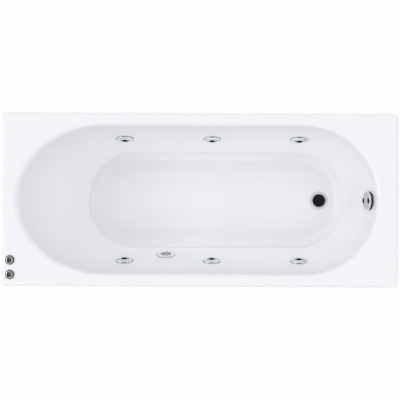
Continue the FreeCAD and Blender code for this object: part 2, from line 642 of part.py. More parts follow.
def waste_trap():
    """Shallow trap: cup with a union on top and a socket for the waste pipe towards the foot end."""
    x = DRAIN_X
    tail, wall = WASTE_TAIL_R, 3.0
    cup = turned(
        (tail, TRAP_TOP + 6), (tail + 5, TRAP_TOP + 6), (tail + 5, TRAP_TOP - 8), (TRAP_R, TRAP_TOP - 9),
        (TRAP_R, TRAP_BOTTOM + 8), (TRAP_R - 2.4, TRAP_BOTTOM + 2.4, TRAP_R - 8, TRAP_BOTTOM), (0, TRAP_BOTTOM),
        (0, TRAP_BOTTOM + wall), (TRAP_R - 9, TRAP_BOTTOM + wall), (TRAP_R - wall, TRAP_BOTTOM + 9),
        (TRAP_R - wall, TRAP_TOP - 12), (tail + 2, TRAP_TOP - 12), (tail + 2, TRAP_TOP), (tail, TRAP_TOP),
    )
    cup.translate(Vector(x, 0, 0))
    at = lambda dx: Vector(dx, 0, OUTLET_Z)
    trap = cup.fuse([rod(OUTLET_BORE - 0.15, at(x + TRAP_R - 8), at(OUTLET_END - 20)),
                     rod(OUTLET_BORE + 3.85, at(OUTLET_END - OUTLET_SOCKET - 4), at(OUTLET_END))])
    trap = trap.cut(pillar(TRAP_R - wall, TRAP_BOTTOM + 9, TRAP_TOP - 12, x))
    return trap.cut([rod(OUTLET_BORE - 3.15, at(x + 20), at(OUTLET_END)),
                     rod(OUTLET_BORE, at(OUTLET_END - OUTLET_SOCKET), at(OUTLET_END))])


def overflow_body():
    """Overflow inlet: slotted face behind the knob, bearing for its stem and a branch down the wall."""
    wall, end = 3.0, -OVERFLOW_PORT_DEPTH - OVERFLOW_HOSE_BORE - 8.0
    neck_end = -OVERFLOW_NECK_END
    body = turned(
        (0, 3.0), (OVERFLOW_FLANGE_R - 1, 3.0), (OVERFLOW_FLANGE_R, 2.0), (OVERFLOW_FLANGE_R, 0),
        (OVERFLOW_NECK_R, 0), (OVERFLOW_NECK_R, neck_end), (OVERFLOW_CHAMBER_R, neck_end),
        (OVERFLOW_CHAMBER_R, end), (0, end), (0, end + wall), (OVERFLOW_CHAMBER_R - wall, end + wall),
        (OVERFLOW_CHAMBER_R - wall, neck_end - wall), (OVERFLOW_NECK_R - wall, neck_end), (OVERFLOW_NECK_R - wall, -2),
        (11.5, -2), (11.5, -18), (0, -18),
    )
    deep = -OVERFLOW_PORT_DEPTH
    reach = OVERFLOW_CHAMBER_R + 22
    body = body.fuse(rod(OVERFLOW_HOSE_BORE, Vector(0, -20, deep), Vector(0, -reach, deep)))
    body = body.cut(pillar(OVERFLOW_CHAMBER_R - wall, end + wall, neck_end - wall))
    body = body.cut(rod(OVERFLOW_HOSE_BORE - 2, Vector(0, -10, deep), Vector(0, -reach, deep)))
    slots = around(6, pillar(3.2, -4, 4, OVERFLOW_NECK_R - 7))
    return body.cut(slots + [pillar(8 + RUNNING, -19, 4)])


def overflow_knob():
    """Turning cover of the overflow: shallow dome, finger notch at the back of its edge, stem."""
    back, front = KNOB_BACK, KNOB_BACK + KNOB_THICKNESS
    disc = turned(
        (0, back), (KNOB_R - 2, back), (KNOB_R, back + 2), (KNOB_R, front - 4),
        (KNOB_R - 1.1, front - 1.3, KNOB_R - 4, front - 0.4), dome(KNOB_R - 4, front - 0.4, front + 1.0),
    )
    groove = KNOB_R - 7.5
    disc = disc.cut(turned((groove, back - 1), (KNOB_R - 3, back - 1), (KNOB_R - 3, back + 3), (groove, back + 3)))
    stem = turned((0, -16), (8, -16), (8, 3 + FIT), (12, 3 + FIT), (12, back), (0, back))
    return disc.fuse(stem)


def overflow_hose():
    """Corrugation-free hose from the overflow to the waste body."""
    start = OVERFLOW_SEAT.multVec(Vector(0, -OVERFLOW_CHAMBER_R, -OVERFLOW_PORT_DEPTH))
    down = OVERFLOW_SEAT.Rotation.multVec(Vector(0, -1, 0))
    knee = start + down * ((start.z - DRAIN_TOP - 35.32) / -down.z)
    level = DRAIN_TOP + DRAIN_PORT
    points = [start, knee, Vector(DRAIN_X + 82, 0, level), Vector(DRAIN_X + WASTE_BODY_R, 0, level)]
    radii = (90.0, 36.0)
    spigot_top = rod(OVERFLOW_HOSE_BORE, start, start + down * 22)
    tube = swept(points, radii, OVERFLOW_HOSE_R).cut(swept(points, radii, OVERFLOW_HOSE_BORE))
    return tube.cut(spigot_top)


# ---------------------------------------------------------------- deck controls
def control_body(bore, depth, barb):
    """Deck fitting: rounded bezel, threaded stem and a closed chamber with a barb below."""
    return turned(
        (0, -depth - 14), (barb, -depth - 14), (barb, -depth), (CONTROL_STEM_R, -depth), (CONTROL_STEM_R, 0),
        (BEZEL_R, 0), (BEZEL_R, BEZEL_HEIGHT - 3), (BEZEL_R - 0.9, BEZEL_HEIGHT - 0.9, BEZEL_R - 3, BEZEL_HEIGHT),
        (bore + 1.6, BEZEL_HEIGHT), (bore, BEZEL_HEIGHT - 1.2), (bore, -8 - BUTTON_TRAVEL), (0, -8 - BUTTON_TRAVEL),
    )


def button_cap():
    """Push button with a dished top."""
    top = BEZEL_HEIGHT + 1.4
    return turned((0, -6), (CAP_R - 2, -6), (CAP_R - 2, -2), (CAP_R, -2), (CAP_R, top - 1.0),
                  (CAP_R - 0.4, top - 0.3, CAP_R - 1.4, top), dome(CAP_R - 1.4, top, top - 1.2))


def regulator_knob():
    """Air regulator: low knob with a fluted edge on a stem."""
    top = BEZEL_HEIGHT + 5.0
    knob = turned((0, -7), (4, -7), (4, -2), (CAP_R, -2), (CAP_R, top - 1.6), (CAP_R - 0.5, top - 0.4, CAP_R - 1.8, top),
                  dome(CAP_R - 1.8, top, top - 1.0))
    return knob.cut(around(12, pillar(1.1, BEZEL_HEIGHT + 0.8, 12, CAP_R + 0.3)))


def control_nut():
    face = -SHELL - GASKET
    return nut(6, 2 * CONTROL_STEM_R + 7, face - 8, face, CONTROL_STEM_R)


# ---------------------------------------------------------------- frame and feet
def square_tube(length):
    """Square tube along X, centred on its axis."""
    def bar(size, radius):
        half = size / 2
        shape = block(-length / 2, length / 2, -half, half, -half, half)
        return shape.makeFillet(radius, [e for e in shape.Edges if e.BoundBox.XLength > 1])
    return bar(TUBE, TUBE_ROUND).cut(bar(TUBE - 2 * TUBE_WALL, TUBE_ROUND - TUBE_WALL))


def rail(side):
    tube = square_tube(RAIL_X[1] - RAIL_X[0])
    tube.translate(Vector(sum(RAIL_X) / 2, side * RAIL_Y, RAIL_TOP - TUBE / 2))
    return tube


def cross_member(x, has_feet):
    tube = square_tube(2 * CROSS_REACH)
    tube.rotate(Vector(), Z_AXIS, 90)
    tube.translate(Vector(x, 0, CROSS_TOP - TUBE / 2))
    if not has_feet:
        return tube
    low = CROSS_TOP - TUBE - BOSS_DROP
    tube = tube.fuse([pillar(BOSS_R, low, CROSS_TOP, x, side * FOOT_Y) for side in (FRONT, REAR)])
    return tube.cut([pillar(FOOT_STEM_R + RUNNING, low, CROSS_TOP + 1, x, side * FOOT_Y) for side in (FRONT, REAR)])


def levelling_foot(x, side):
    """Round pad with a rounded shoulder and a threaded stem."""
    foot = turned(
        (0, 0), (FOOT_PAD_R - 2, 0), (FOOT_PAD_R, 2), (FOOT_PAD_R, 5), (FOOT_PAD_R - 3, 9), (11, FOOT_PAD_HEIGHT),
        (FOOT_STEM_R, FOOT_PAD_HEIGHT + 4), (FOOT_STEM_R, CROSS_TOP - 2), (FOOT_STEM_R - 1, CROSS_TOP - 1), (0, CROSS_TOP - 1),
    )
    foot.translate(Vector(x, side * FOOT_Y, 0))
    return foot


def foot_lock_nuts():
    top = CROSS_TOP - TUBE - BOSS_DROP
    nuts = []
    for x in (CROSS_X[0], CROSS_X[-1]):
        for side in (FRONT, REAR):
            piece = nut(6, 2 * FOOT_STEM_R + 7, top - 9, top, FOOT_STEM_R + RUNNING)
            piece.translate(Vector(x, side * FOOT_Y, 0))
            nuts.append(piece)
    return Part.makeCompound(nuts)


def base_board():
    return block(BOARD_X[0], BOARD_X[1], -BOARD_HALF, BOARD_HALF, RAIL_TOP, UNDERSIDE)


def rim_batten(side):
    y = side * BATTEN_Y
    top = RIM_HEIGHT - SHELL
    return block(-BATTEN_REACH, BATTEN_REACH, y - BATTEN_WIDTH / 2, y + BATTEN_WIDTH / 2, top - BATTEN_HEIGHT, top)


# ---------------------------------------------------------------- pump
# The pump is drawn with its axis along Z from the front of the casing, then laid along +Y.
PUMP_SEAT = seat_frame(Vector(PUMP_X, PUMP_FRONT, PUMP_AXIS_Z), X_AXIS, Y_AXIS)
PUMP_BASE = RAIL_TOP + PLATE + MOUNT_HEIGHT
INLET_REACH = 26.0
UP = -1.0                       # upwards is -Y in the pump's own frame


def pump_casing():
    """Pump casing: inlet socket, domed front, bolted ring and an outlet that leaves upwards at a tangent."""
    depth = VOLUTE_DEPTH
    inlet = SUCTION_PIPE_R + 4
    body = turned(
        (0, 0), (40, 0), (VOLUTE_R - 12, 5), (VOLUTE_R - 3.5, 13.5, VOLUTE_R, 22), (VOLUTE_R, depth - 14),
        (VOLUTE_R + 6, depth - 14), (VOLUTE_R + 6, depth), (0, depth),
    )
    lugs = around(8, pillar(6.5, depth - 14, depth, VOLUTE_R + 4))
    middle = depth / 2 - 2
    out = lambda radius, start: rod(radius, Vector(DELIVERY_OFFSET, start, middle),
                                    Vector(DELIVERY_OFFSET, UP * (DELIVERY_END - PUMP_AXIS_Z), middle))
    collar = rod(WATER_PIPE_R + 8, Vector(DELIVERY_OFFSET, UP * (DELIVERY_END - PUMP_AXIS_Z - 16), middle),
                 Vector(DELIVERY_OFFSET, UP * (DELIVERY_END - PUMP_AXIS_Z), middle))
    body = body.fuse([pillar(inlet, -INLET_REACH, 3), pillar(inlet + 5, -INLET_REACH, -INLET_REACH + 12),
                      out(WATER_PIPE_R + 4, 0), collar] + lugs)
    return body.cut([pillar(CAVITY_R, 8, depth - 7), pillar(SUCTION_PIPE_BORE, -INLET_REACH, 9),
                     pillar(SUCTION_PIPE_R, -INLET_REACH, -4), out(WATER_PIPE_BORE, 0),
                     rod(WATER_PIPE_R, Vector(DELIVERY_OFFSET, UP * (DELIVERY_END - PUMP_AXIS_Z - 14), middle),
                         Vector(DELIVERY_OFFSET, UP * (DELIVERY_END - PUMP_AXIS_Z), middle)),
                     pillar(SHAFT_R + 2, depth - 8, depth)])


def motor_housing():
    """Finned motor body with an end shield, two saddle feet and a bearing bore for the shaft."""
    start = VOLUTE_DEPTH
    body = turned((0, start), (VOLUTE_R - 8, start), (VOLUTE_R - 8, start + 9), (MOTOR_R + 4, start + 20),
                  (MOTOR_R, start + 22), (MOTOR_R, MOTOR_LENGTH), (0, MOTOR_LENGTH))
    fin = block(MOTOR_R - 2, MOTOR_R + FIN_HEIGHT, -1.6, 1.6, start + 26, COWL_START)
    rim = pillar(COWL_R - 2, COWL_START, MOTOR_LENGTH)
    drop = PUMP_AXIS_Z - PUMP_BASE
    pieces = around(FIN_COUNT, fin) + [rim]
    for y in MOUNT_Y:
        along = y - PUMP_FRONT
        pieces += [block(-MOUNT_X - 14, MOUNT_X + 14, drop - 7, drop, along - 14, along + 14),
                   block(-30, 30, MOTOR_R - 20, drop - 3, along - 8, along + 8)]
    return body.fuse(pieces).cut(pillar(SHAFT_R + RUNNING, start - 1, MOTOR_LENGTH + 1))


def fan_cowl():
    """Sheet cowl over the fan, with rings of air slots in its end."""
    wall = 2.0
    cup = turned((COWL_R - wall, COWL_START), (COWL_R, COWL_START), (COWL_R, COWL_END - 6),
                 (COWL_R - 1.8, COWL_END - 1.8, COWL_R - 6, COWL_END), (0, COWL_END), (0, COWL_END - wall),
                 (COWL_R - 6, COWL_END - wall), (COWL_R - wall, COWL_END - 6))
    slots = around(10, block(16, 32, -3.2, 3.2, COWL_END - 8, COWL_END + 1))
    slots += around(16, block(38, 52, -3.2, 3.2, COWL_END - 8, COWL_END + 1))
    return cup.cut(slots)


def motor_shaft():
    return turned((0, 22), (SHAFT_R - 1, 22), (SHAFT_R, 23), (SHAFT_R, COWL_END - 10), (0, COWL_END - 10))


def pump_impeller():
    """Shrouded wheel with six swept-back vanes."""
    wheel = turned((SHAFT_R, 24), (13, 24), (18, 40), (IMPELLER_R, 43), (IMPELLER_R, 46), (SHAFT_R, 46))
    at = lambda radius, degrees: Vector(radius, 0, 28) if not degrees else Vector(
        radius * math.cos(math.radians(degrees)), radius * math.sin(math.radians(degrees)), 28)
    root, tip = SHAFT_R + 9, IMPELLER_R - 1.5
    middle = (root + tip) / 2
    inner, outer = [at(root, 0), at(middle, -14), at(tip, -31)], [at(tip, -27.5), at(middle, -10), at(root + 1, 9)]
    vane = Part.Face(Part.Wire([Part.Arc(*inner).toShape(), Part.makeLine(inner[2], outer[0]),
                                Part.Arc(*outer).toShape(), Part.makeLine(outer[2], inner[0])]))
    vane = vane.extrude(Vector(0, 0, 16))
    return wheel.fuse(around(6, vane))


def motor_fan():
    """Fan on the back end of the shaft: hub, disc and eight straight blades."""
    z0 = MOTOR_LENGTH + 6
    fan = turned((SHAFT_R, z0), (16, z0), (16, z0 + 20), (SHAFT_R, z0 + 20))
    blade = block(14, 50, -1.2, 1.2, z0 + 2, z0 + 17)
    disc = washer(50, SHAFT_R, z0, z0 + 2.5)
    return fan.fuse([disc] + around(8, blade))


def switch_box():
    """Pneumatic switch on top of the motor, with a barb for the button's air tube and a cable gland."""
    low = PUMP_AXIS_Z + MOTOR_R
    left, right = PUMP_X + SWITCH_X[0], PUMP_X + SWITCH_X[1]
    near, far = SWITCH_END - SWITCH_LENGTH, SWITCH_END
    top = low + SWITCH_HEIGHT
    box = block(left, right, near, far, low - 16, top)
    box = box.makeFillet(6, [e for e in box.Edges if e.BoundBox.ZLength > 1])
    box = box.makeFillet(4, [e for e in box.Edges if e.BoundBox.ZMin > top - 1])
    lid = block(left + 4, right - 4, near + 4, far - 4, top, top + 2)
    lid = lid.makeFillet(5, [e for e in lid.Edges if e.BoundBox.ZLength > 1])
    gland_y, gland_z = (near + far) / 2, low + SWITCH_HEIGHT / 2 + 1
    gland = rod(11, Vector(left, gland_y, gland_z), Vector(left - 8, gland_y, gland_z))
    cap = rod(9, Vector(left - 8, gland_y, gland_z), Vector(left - 22, gland_y, gland_z))
    middle = (left + right) / 2
    barb = rod(3, Vector(middle, near, gland_z), Vector(middle, near - 14, gland_z))
    around_motor = rod(MOTOR_R + FIN_HEIGHT + 0.03, Vector(PUMP_X, 0, PUMP_AXIS_Z), Vector(PUMP_X, 110, PUMP_AXIS_Z))
    body = box.cut(around_motor).fuse([lid, gland, cap, barb])
    return body.cut(rod(GLAND_BORE, Vector(left - 4, gland_y, gland_z), Vector(left - 23, gland_y, gland_z)))


def pump_plate():
    """Folded plate across both rails."""
    y = RAIL_Y + TUBE / 2
    left, right = PUMP_X - PLATE_HALF, PUMP_X + PLATE_HALF
    plate = block(left, right, -y, y, RAIL_TOP, RAIL_TOP + PLATE)
    lips = [block(start, start + PLATE, -y + TUBE + 4, y - TUBE - 4, RAIL_TOP - 14, RAIL_TOP + PLATE)
            for start in (left, right - PLATE)]
    return plate.fuse(lips).removeSplitter()


def pump_mounts():
    mounts = []
    for x in (-MOUNT_X, MOUNT_X):
        for y in MOUNT_Y:
            z0 = RAIL_TOP + PLATE
            puck = turned((0, z0), (12, z0), (9.5, z0 + MOUNT_HEIGHT / 2, 12, z0 + MOUNT_HEIGHT), (0, z0 + MOUNT_HEIGHT))
            puck.translate(Vector(PUMP_X + x, y, 0))
            mounts.append(puck)
    return Part.makeCompound(mounts)


# ---------------------------------------------------------------- pipes
def suction_pipe():
    """From the suction fitting along the front wall, down and round to the front of the pump."""
    start = SUCTION_SEAT.multVec(Vector(SUCTION_STOP, 0, -SUCTION_PORT_DEPTH))
    points = [start, Vector(PUMP_X + 105, start.y, start.z), Vector(PUMP_X, start.y, PUMP_AXIS_Z),
              Vector(PUMP_X, PUMP_FRONT - 4, PUMP_AXIS_Z)]
    radii = SUCTION_BENDS
    return swept(points, radii, SUCTION_PIPE_R).cut(swept(points, radii, SUCTION_PIPE_BORE))


def water_line(side):
    return JET_SEATS[side][0].multVec(Vector(0, 0, -WATER_PORT_DEPTH))


def air_line(side):
    return JET_SEATS[side][0].multVec(Vector(0, AIR_RISE, -AIR_PORT_DEPTH))


def pipe(outer, inner, start, end):
    return rod(outer, start, end).cut(rod(inner, start, end))


def water_pipe(side):
    """Straight pipes from the union to the first jet and from jet to jet."""
    line = water_line(side)
    reach = JET_CHAMBER_R
    stations = [(UNION_X, JET_XS[0] - reach), (JET_XS[0] + reach, JET_XS[1] - reach),
                (JET_XS[1] + reach, JET_XS[2] - reach)]
    return Part.makeCompound([pipe(WATER_PIPE_R, WATER_PIPE_BORE, Vector(a, line.y, line.z), Vector(b, line.y, line.z))
                              for a, b in stations])


def delivery_pipe():
    """Riser from the pump and the loop behind the backrest that feeds both jet lines."""
    front, rear = water_line(FRONT), water_line(REAR)
    x = PUMP_X + DELIVERY_OFFSET
    points = [Vector(UNION_X, front.y, front.z), Vector(x, front.y, front.z),
              Vector(x, rear.y, rear.z), Vector(UNION_X, rear.y, rear.z)]
    radii = (WATER_BEND, WATER_BEND)
    riser_y = PUMP_FRONT + VOLUTE_DEPTH / 2 - 2
    foot, top = Vector(x, riser_y, DELIVERY_END - 14), Vector(x, riser_y, front.z)
    tee = rod(SOCKET_R, Vector(x, riser_y - 32, front.z), Vector(x, riser_y + 32, front.z))
    collar = rod(SOCKET_R, Vector(x, riser_y, front.z - 34), top)
    unions = [rod(SOCKET_R + 3, Vector(UNION_X - 18, line.y, line.z), Vector(UNION_X + 18, line.y, line.z))
              for line in (front, rear)]
    solid = swept(points, radii, WATER_PIPE_R).fuse([rod(WATER_PIPE_R, foot, top), tee, collar] + unions)
    bores = [swept(points, radii, WATER_PIPE_BORE), rod(WATER_PIPE_BORE, foot, top)]
    bores += [rod(WATER_PIPE_R, Vector(UNION_X, line.y, line.z), Vector(UNION_X + 18, line.y, line.z))
              for line in (front, rear)]
    return solid.cut(bores)


def air_pipe(side):
    """Air pipe along the jets, with a branch down to each."""
    line = air_line(side)
    start, end = Vector(UNION_X, line.y, line.z), Vector(JET_XS[2] + 14, line.y, line.z)
    branches, holes = [], []
    for seat in JET_SEATS[side]:
        top = seat.multVec(Vector(0, AIR_RISE, -AIR_PORT_DEPTH))
        low = seat.multVec(Vector(0, JET_CHAMBER_R + 9, -AIR_PORT_DEPTH))
        branches.append(rod(AIR_BRANCH_R, low, top))
        holes.append(rod(AIR_BRANCH_BORE, low, top))
    tube = rod(AIR_PIPE_R, start, end).fuse(branches)
    return tube.cut([rod(AIR_PIPE_BORE, start, end - X_AXIS * 2)] + holes)


def air_hose():
    """Hose from the air regulator to the front line, with a branch round the backrest to the rear line."""
    front, rear = air_line(FRONT), air_line(REAR)
    barb = REGULATOR_SEAT.multVec(Vector(0, 0, -REGULATOR_DEPTH))
    first = [barb, Vector(CONTROL_X, REGULATOR_Y, front.z), Vector(UNION_X, front.y, front.z)]
    second = [Vector(AIR_TURN_X, front.y, front.z), Vector(AIR_TURN_X, rear.y, rear.z), Vector(UNION_X, rear.y, rear.z)]
    solid = swept(first, (AIR_BEND,), AIR_PIPE_R).fuse(swept(second, (AIR_LOOP_BEND,), AIR_PIPE_R))
    hollow = swept(first, (AIR_BEND,), AIR_PIPE_BORE).fuse(swept(second, (AIR_LOOP_BEND,), AIR_PIPE_BORE))
    return solid.cut(hollow)


BUTTON_DEPTH, REGULATOR_DEPTH = 38.0, 44.0

# ---------------------------------------------------------------- assembly
nodes = {
    "tub_shell": tub_shell(),
    "base_board": base_board(),
    "batten_front": rim_batten(FRONT),
    "batten_rear": rim_batten(REAR),
    "rail_front": rail(FRONT),
    "rail_rear": rail(REAR),
    "cross_head": cross_member(CROSS_X[0], True),
    "cross_middle": cross_member(CROSS_X[1], False),
    "cross_foot": cross_member(CROSS_X[2], True),
    "foot_lock_nuts": foot_lock_nuts(),
    "foot_1": levelling_foot(CROSS_X[0], FRONT),
    "foot_2": levelling_foot(CROSS_X[-1], FRONT),
    "foot_3": levelling_foot(CROSS_X[-1], REAR),
    "foot_4": levelling_foot(CROSS_X[0], REAR),
    "suction_body": placed(suction_body(), SUCTION_SEAT),
    "suction_grille": placed(suction_grille(), SUCTION_SEAT),
    "drain_flange": placed(drain_flange(), DRAIN_SEAT),
    "drain_plug": placed(drain_plug(), DRAIN_SEAT),
    "drain_body": placed(drain_body(), DRAIN_SEAT),
    "waste_trap": waste_trap(),
    "overflow_body": placed(overflow_body(), OVERFLOW_SEAT),
    "overflow_knob": placed(overflow_knob(), OVERFLOW_SEAT),
    "overflow_hose": overflow_hose(),
    "button_body": placed(control_body(CAP_R + FIT, BUTTON_DEPTH, 3.0), BUTTON_SEAT),
    "button_cap": placed(button_cap(), BUTTON_SEAT),
    "regulator_body": placed(control_body(CAP_R + FIT, REGULATOR_DEPTH, AIR_PIPE_BORE), REGULATOR_SEAT),
    "regulator_knob": placed(regulator_knob(), REGULATOR_SEAT),
    "pump_casing": placed(pump_casing(), PUMP_SEAT),
    "motor_housing": placed(motor_housing(), PUMP_SEAT),
    "fan_cowl": placed(fan_cowl(), PUMP_SEAT),
    "motor_shaft": placed(motor_shaft(), PUMP_SEAT),
    "pump_impeller": placed(pump_impeller(), PUMP_SEAT),
    "motor_fan": placed(motor_fan(), PUMP_SEAT),
    "switch_box": switch_box(),
    "pump_plate": pump_plate(),
    "pump_mounts": pump_mounts(),
    "suction_pipe": suction_pipe(),
    "delivery_pipe": delivery_pipe(),
    "water_pipe_front": water_pipe(FRONT),
    "water_pipe_rear": water_pipe(REAR),
    "air_pipe_front": air_pipe(FRONT),
    "air_pipe_rear": air_pipe(REAR),
    "air_hose": air_hose(),
}

number = 0
nuts, gaskets = [], []
for side, name in ((FRONT, "front"), (REAR, "rear")):
    bodies = []
    for place, seat in enumerate(JET_SEATS[side]):
        number += 1
        ports = [-side, side] if place < 2 else [-side]
        bodies.append(placed(jet_body(ports), seat))
        nodes["jet_ring_%d" % number] = placed(jet_ring(), seat)
        nodes["jet_nozzle_%d" % number] = placed(jet_nozzle(), seat)
        nuts.append(placed(wall_nut(JET_NECK_R, 6), seat))
        gaskets.append(placed(wall_gasket(JET_NECK_R, 8), seat))
    nodes["jet_bodies_" + name] = Part.makeCompound(bodies)
nuts += [placed(wall_nut(SUCTION_NECK_R, 6.5), SUCTION_SEAT), placed(wall_nut(OVERFLOW_NECK_R, 5), OVERFLOW_SEAT),
         placed(control_nut(), BUTTON_SEAT), placed(control_nut(), REGULATOR_SEAT)]
gaskets += [placed(wall_gasket(SUCTION_NECK_R, 8.5), SUCTION_SEAT),
            placed(wall_gasket(OVERFLOW_NECK_R, 8), OVERFLOW_SEAT),
            placed(washer(DRAIN_TUBE_R + 10, DRAIN_TUBE_R, BODY_TOP, DRAIN_UNDER), DRAIN_SEAT),
            placed(wall_gasket(CONTROL_STEM_R, 3.5), BUTTON_SEAT),
            placed(wall_gasket(CONTROL_STEM_R, 3.5), REGULATOR_SEAT)]
nodes["fitting_nuts"] = Part.makeCompound(nuts)
nodes["fitting_gaskets"] = Part.makeCompound(gaskets)

os.makedirs("parts", exist_ok=True)
for name, shape in nodes.items():
    if not shape.isValid():
        print("not valid:", name)
    shape.exportStep("parts/%s.step" % name)
print(len(nodes), "nodes")
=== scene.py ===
import json
import math

import bmesh
import bpy
from mathutils import Matrix, Vector


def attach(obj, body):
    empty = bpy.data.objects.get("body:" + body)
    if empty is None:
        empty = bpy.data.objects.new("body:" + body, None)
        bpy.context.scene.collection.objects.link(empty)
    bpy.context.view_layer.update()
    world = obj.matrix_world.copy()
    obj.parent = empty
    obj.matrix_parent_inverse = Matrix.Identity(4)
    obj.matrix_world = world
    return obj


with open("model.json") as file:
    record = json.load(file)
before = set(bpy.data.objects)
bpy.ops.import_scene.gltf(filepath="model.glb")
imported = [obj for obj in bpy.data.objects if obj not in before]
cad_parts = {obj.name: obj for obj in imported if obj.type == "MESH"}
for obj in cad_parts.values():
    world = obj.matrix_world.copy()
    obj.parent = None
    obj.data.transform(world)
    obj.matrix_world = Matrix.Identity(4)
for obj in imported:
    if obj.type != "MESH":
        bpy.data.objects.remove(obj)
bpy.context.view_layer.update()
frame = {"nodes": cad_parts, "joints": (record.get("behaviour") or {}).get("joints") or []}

# ---------------------------------------------------------------- where the bath is seen from
# The bath is seen straight from above, from a little over three metres over its rim. The rim fills the
# width of the picture, and the picture is turned by a third of a degree.
RIM_TOP = 0.580                        # over the ground, in metres
RIM_LENGTH = 1.6
EYE_OVER_RIM = 3.2
EYE_TO_FOOT = 0.001                    # from the middle of the bath towards its foot end
SIGHT = 60                             # metres
PICTURE_TURN = math.radians(0.29)
SENSOR = 36.0                          # millimetres
PICTURE = 400                          # pixels each way
RIM_PIXELS = 397.6
camera_data = bpy.data.cameras.new("view_from_above")
camera_data.sensor_width = SENSOR
camera_data.lens = SENSOR * EYE_OVER_RIM * RIM_PIXELS / (RIM_LENGTH * PICTURE)
camera_data.clip_end = SIGHT
camera = bpy.data.objects.new("view_from_above", camera_data)
bpy.context.scene.collection.objects.link(camera)
camera.location = (EYE_TO_FOOT, 0.0, RIM_TOP + EYE_OVER_RIM)
camera.rotation_euler = (0, 0, PICTURE_TURN)
bpy.context.scene.camera = camera
bpy.context.scene.view_settings.view_transform = "Standard"


# ---------------------------------------------------------------- floor and light
# A plain white floor that runs on past every view and keeps a faint shadow. Broad light comes down from all
# round, and a weak, wide lamp past the head end reaches the wall at the foot. Bright metal sees a dark ceiling.
class Reading:
    """One output of a shader node. Plain sums on it add the nodes that work them out."""

    def __init__(self, finish, socket):
        self.finish, self.socket = finish, socket

    def out(self, name):
        """Another output of the same node."""
        return Reading(self.finish, self.socket.node.outputs[name])

    def __add__(self, other): return self.finish.sum("ADD", self, other)
    def __radd__(self, other): return self.finish.sum("ADD", other, self)
    def __sub__(self, other): return self.finish.sum("SUBTRACT", self, other)
    def __rsub__(self, other): return self.finish.sum("SUBTRACT", other, self)
    def __mul__(self, other): return self.finish.sum("MULTIPLY", self, other)
    def __rmul__(self, other): return self.finish.sum("MULTIPLY", other, self)
    def __gt__(self, other): return self.finish.sum("GREATER_THAN", self, other)
    def __lt__(self, other): return self.finish.sum("LESS_THAN", self, other)
    def __abs__(self): return self.finish.sum("ABSOLUTE", self)
    def __or__(self, other): return self.finish.sum("MAXIMUM", self, other)


class Finish:
    """A surface finish, or the room's light: one node tree and the shader that it feeds."""

    def __init__(self, name, room=None, **sockets):
        self.material = room or bpy.data.materials.new(name)
        self.material.use_nodes = True
        self.tree = self.material.node_tree
        self.shader = self.tree.nodes["Background" if room else "Principled BSDF"]
        self.feed(**sockets)

    def feed(self, **sockets):
        """Sets or links the shader's sockets, named with _ for a space."""
        for name, value in sockets.items():
            self.plug(self.shader.inputs[name.replace("_", " ")], value)

    def plug(self, socket, value):
        """Links a reading to a socket, or sets the socket to a colour or a number."""
        if isinstance(value, Reading):
            self.tree.links.new(value.socket, socket)
        elif socket.type == "RGBA":
            socket.default_value = (*value, 1) if isinstance(value, tuple) else (value, value, value, 1)
        elif socket.type == "VECTOR" and isinstance(value, (int, float)):
            socket.default_value = (value,) * 3
        else:
            socket.default_value = value

    def node(self, kind, settings=None, *ends, **named):
        """Adds a node: its settings first, then its sockets in their order or by name."""
        made = self.tree.nodes.new("ShaderNode" + kind)
        for key, value in (settings or {}).items():
            if key == "stops":
                stops = made.color_ramp.elements
                while len(stops) < len(value):
                    stops.new(1.0)
                for stop, (place, tone) in zip(stops, value):
                    stop.position = place
                    stop.color = (tone, tone, tone, 1)
            else:
                setattr(made, key, value)
        for socket, value in zip(made.inputs, ends):
            self.plug(socket, value)
        for name, value in named.items():
            self.plug(made.inputs[name.replace("_", " ")], value)
        return Reading(self, [socket for socket in made.outputs if socket.enabled][0])

    def mix(self, share, low, high, operation="MIX"):
        """The low colour at a share of 0, the high one at 1. A Mix node names three sets of sockets alike."""
        made = self.tree.nodes.new("ShaderNodeMix")
        made.data_type, made.blend_type = "RGBA", operation
        for socket, value in zip([made.inputs[0], *made.inputs[6:8]], (share, low, high)):
            self.plug(socket, value)
        return Reading(self, made.outputs[2])

    def sum(self, operation, first, second=0.0):
        """One step of a sum. Colours go through a Mix node, and places and directions through Vector Math."""
        kinds = [end.socket.type for end in (first, second) if isinstance(end, Reading)]
        if "RGBA" in kinds:
            return self.mix(1.0, first, second, operation)
        return self.node("VectorMath" if "VECTOR" in kinds else "Math", {"operation": operation}, first, second)

    def place(self, axis=None):
        """Where a point of the piece lies at rest, in metres, or one of its three measures."""
        spot = self.node("TexCoord").out("Object")
        return self.node("SeparateXYZ", None, spot).out(axis) if axis else spot

    def grain(self, scale, stretch=(1, 1, 1), detail=3.0, **more):
        """Noise that lies still on the piece, 0 to 1. The scale is in patches for each metre."""
        spot = self.node("Mapping", None, Vector=self.place(), Scale=stretch)
        return self.node("TexNoise", None, Vector=spot, Scale=scale, Detail=detail, **more)

    def chips(self, scale, stretch=(1, 1, 1)):
        """Flat flakes, each with its own value from 0 to 1."""
        spot = self.node("Mapping", None, Vector=self.place(), Scale=stretch)
        cell = self.node("TexVoronoi", None, Vector=spot, Scale=scale).out("Color")
        return self.node("SeparateColor", None, cell)

    def between(self, reading, low, high):
        """0 at the low value and under it, 1 at the high one and over it."""
        return self.node("MapRange", None, reading, low, high, 0.0, 1.0)

    def relief(self, height, depth, strength=1.0):
        """Bumps as high as the height, which is 0 to 1, times the depth in metres."""
        return self.node("Bump", None, Height=height, Strength=strength, Distance=depth)


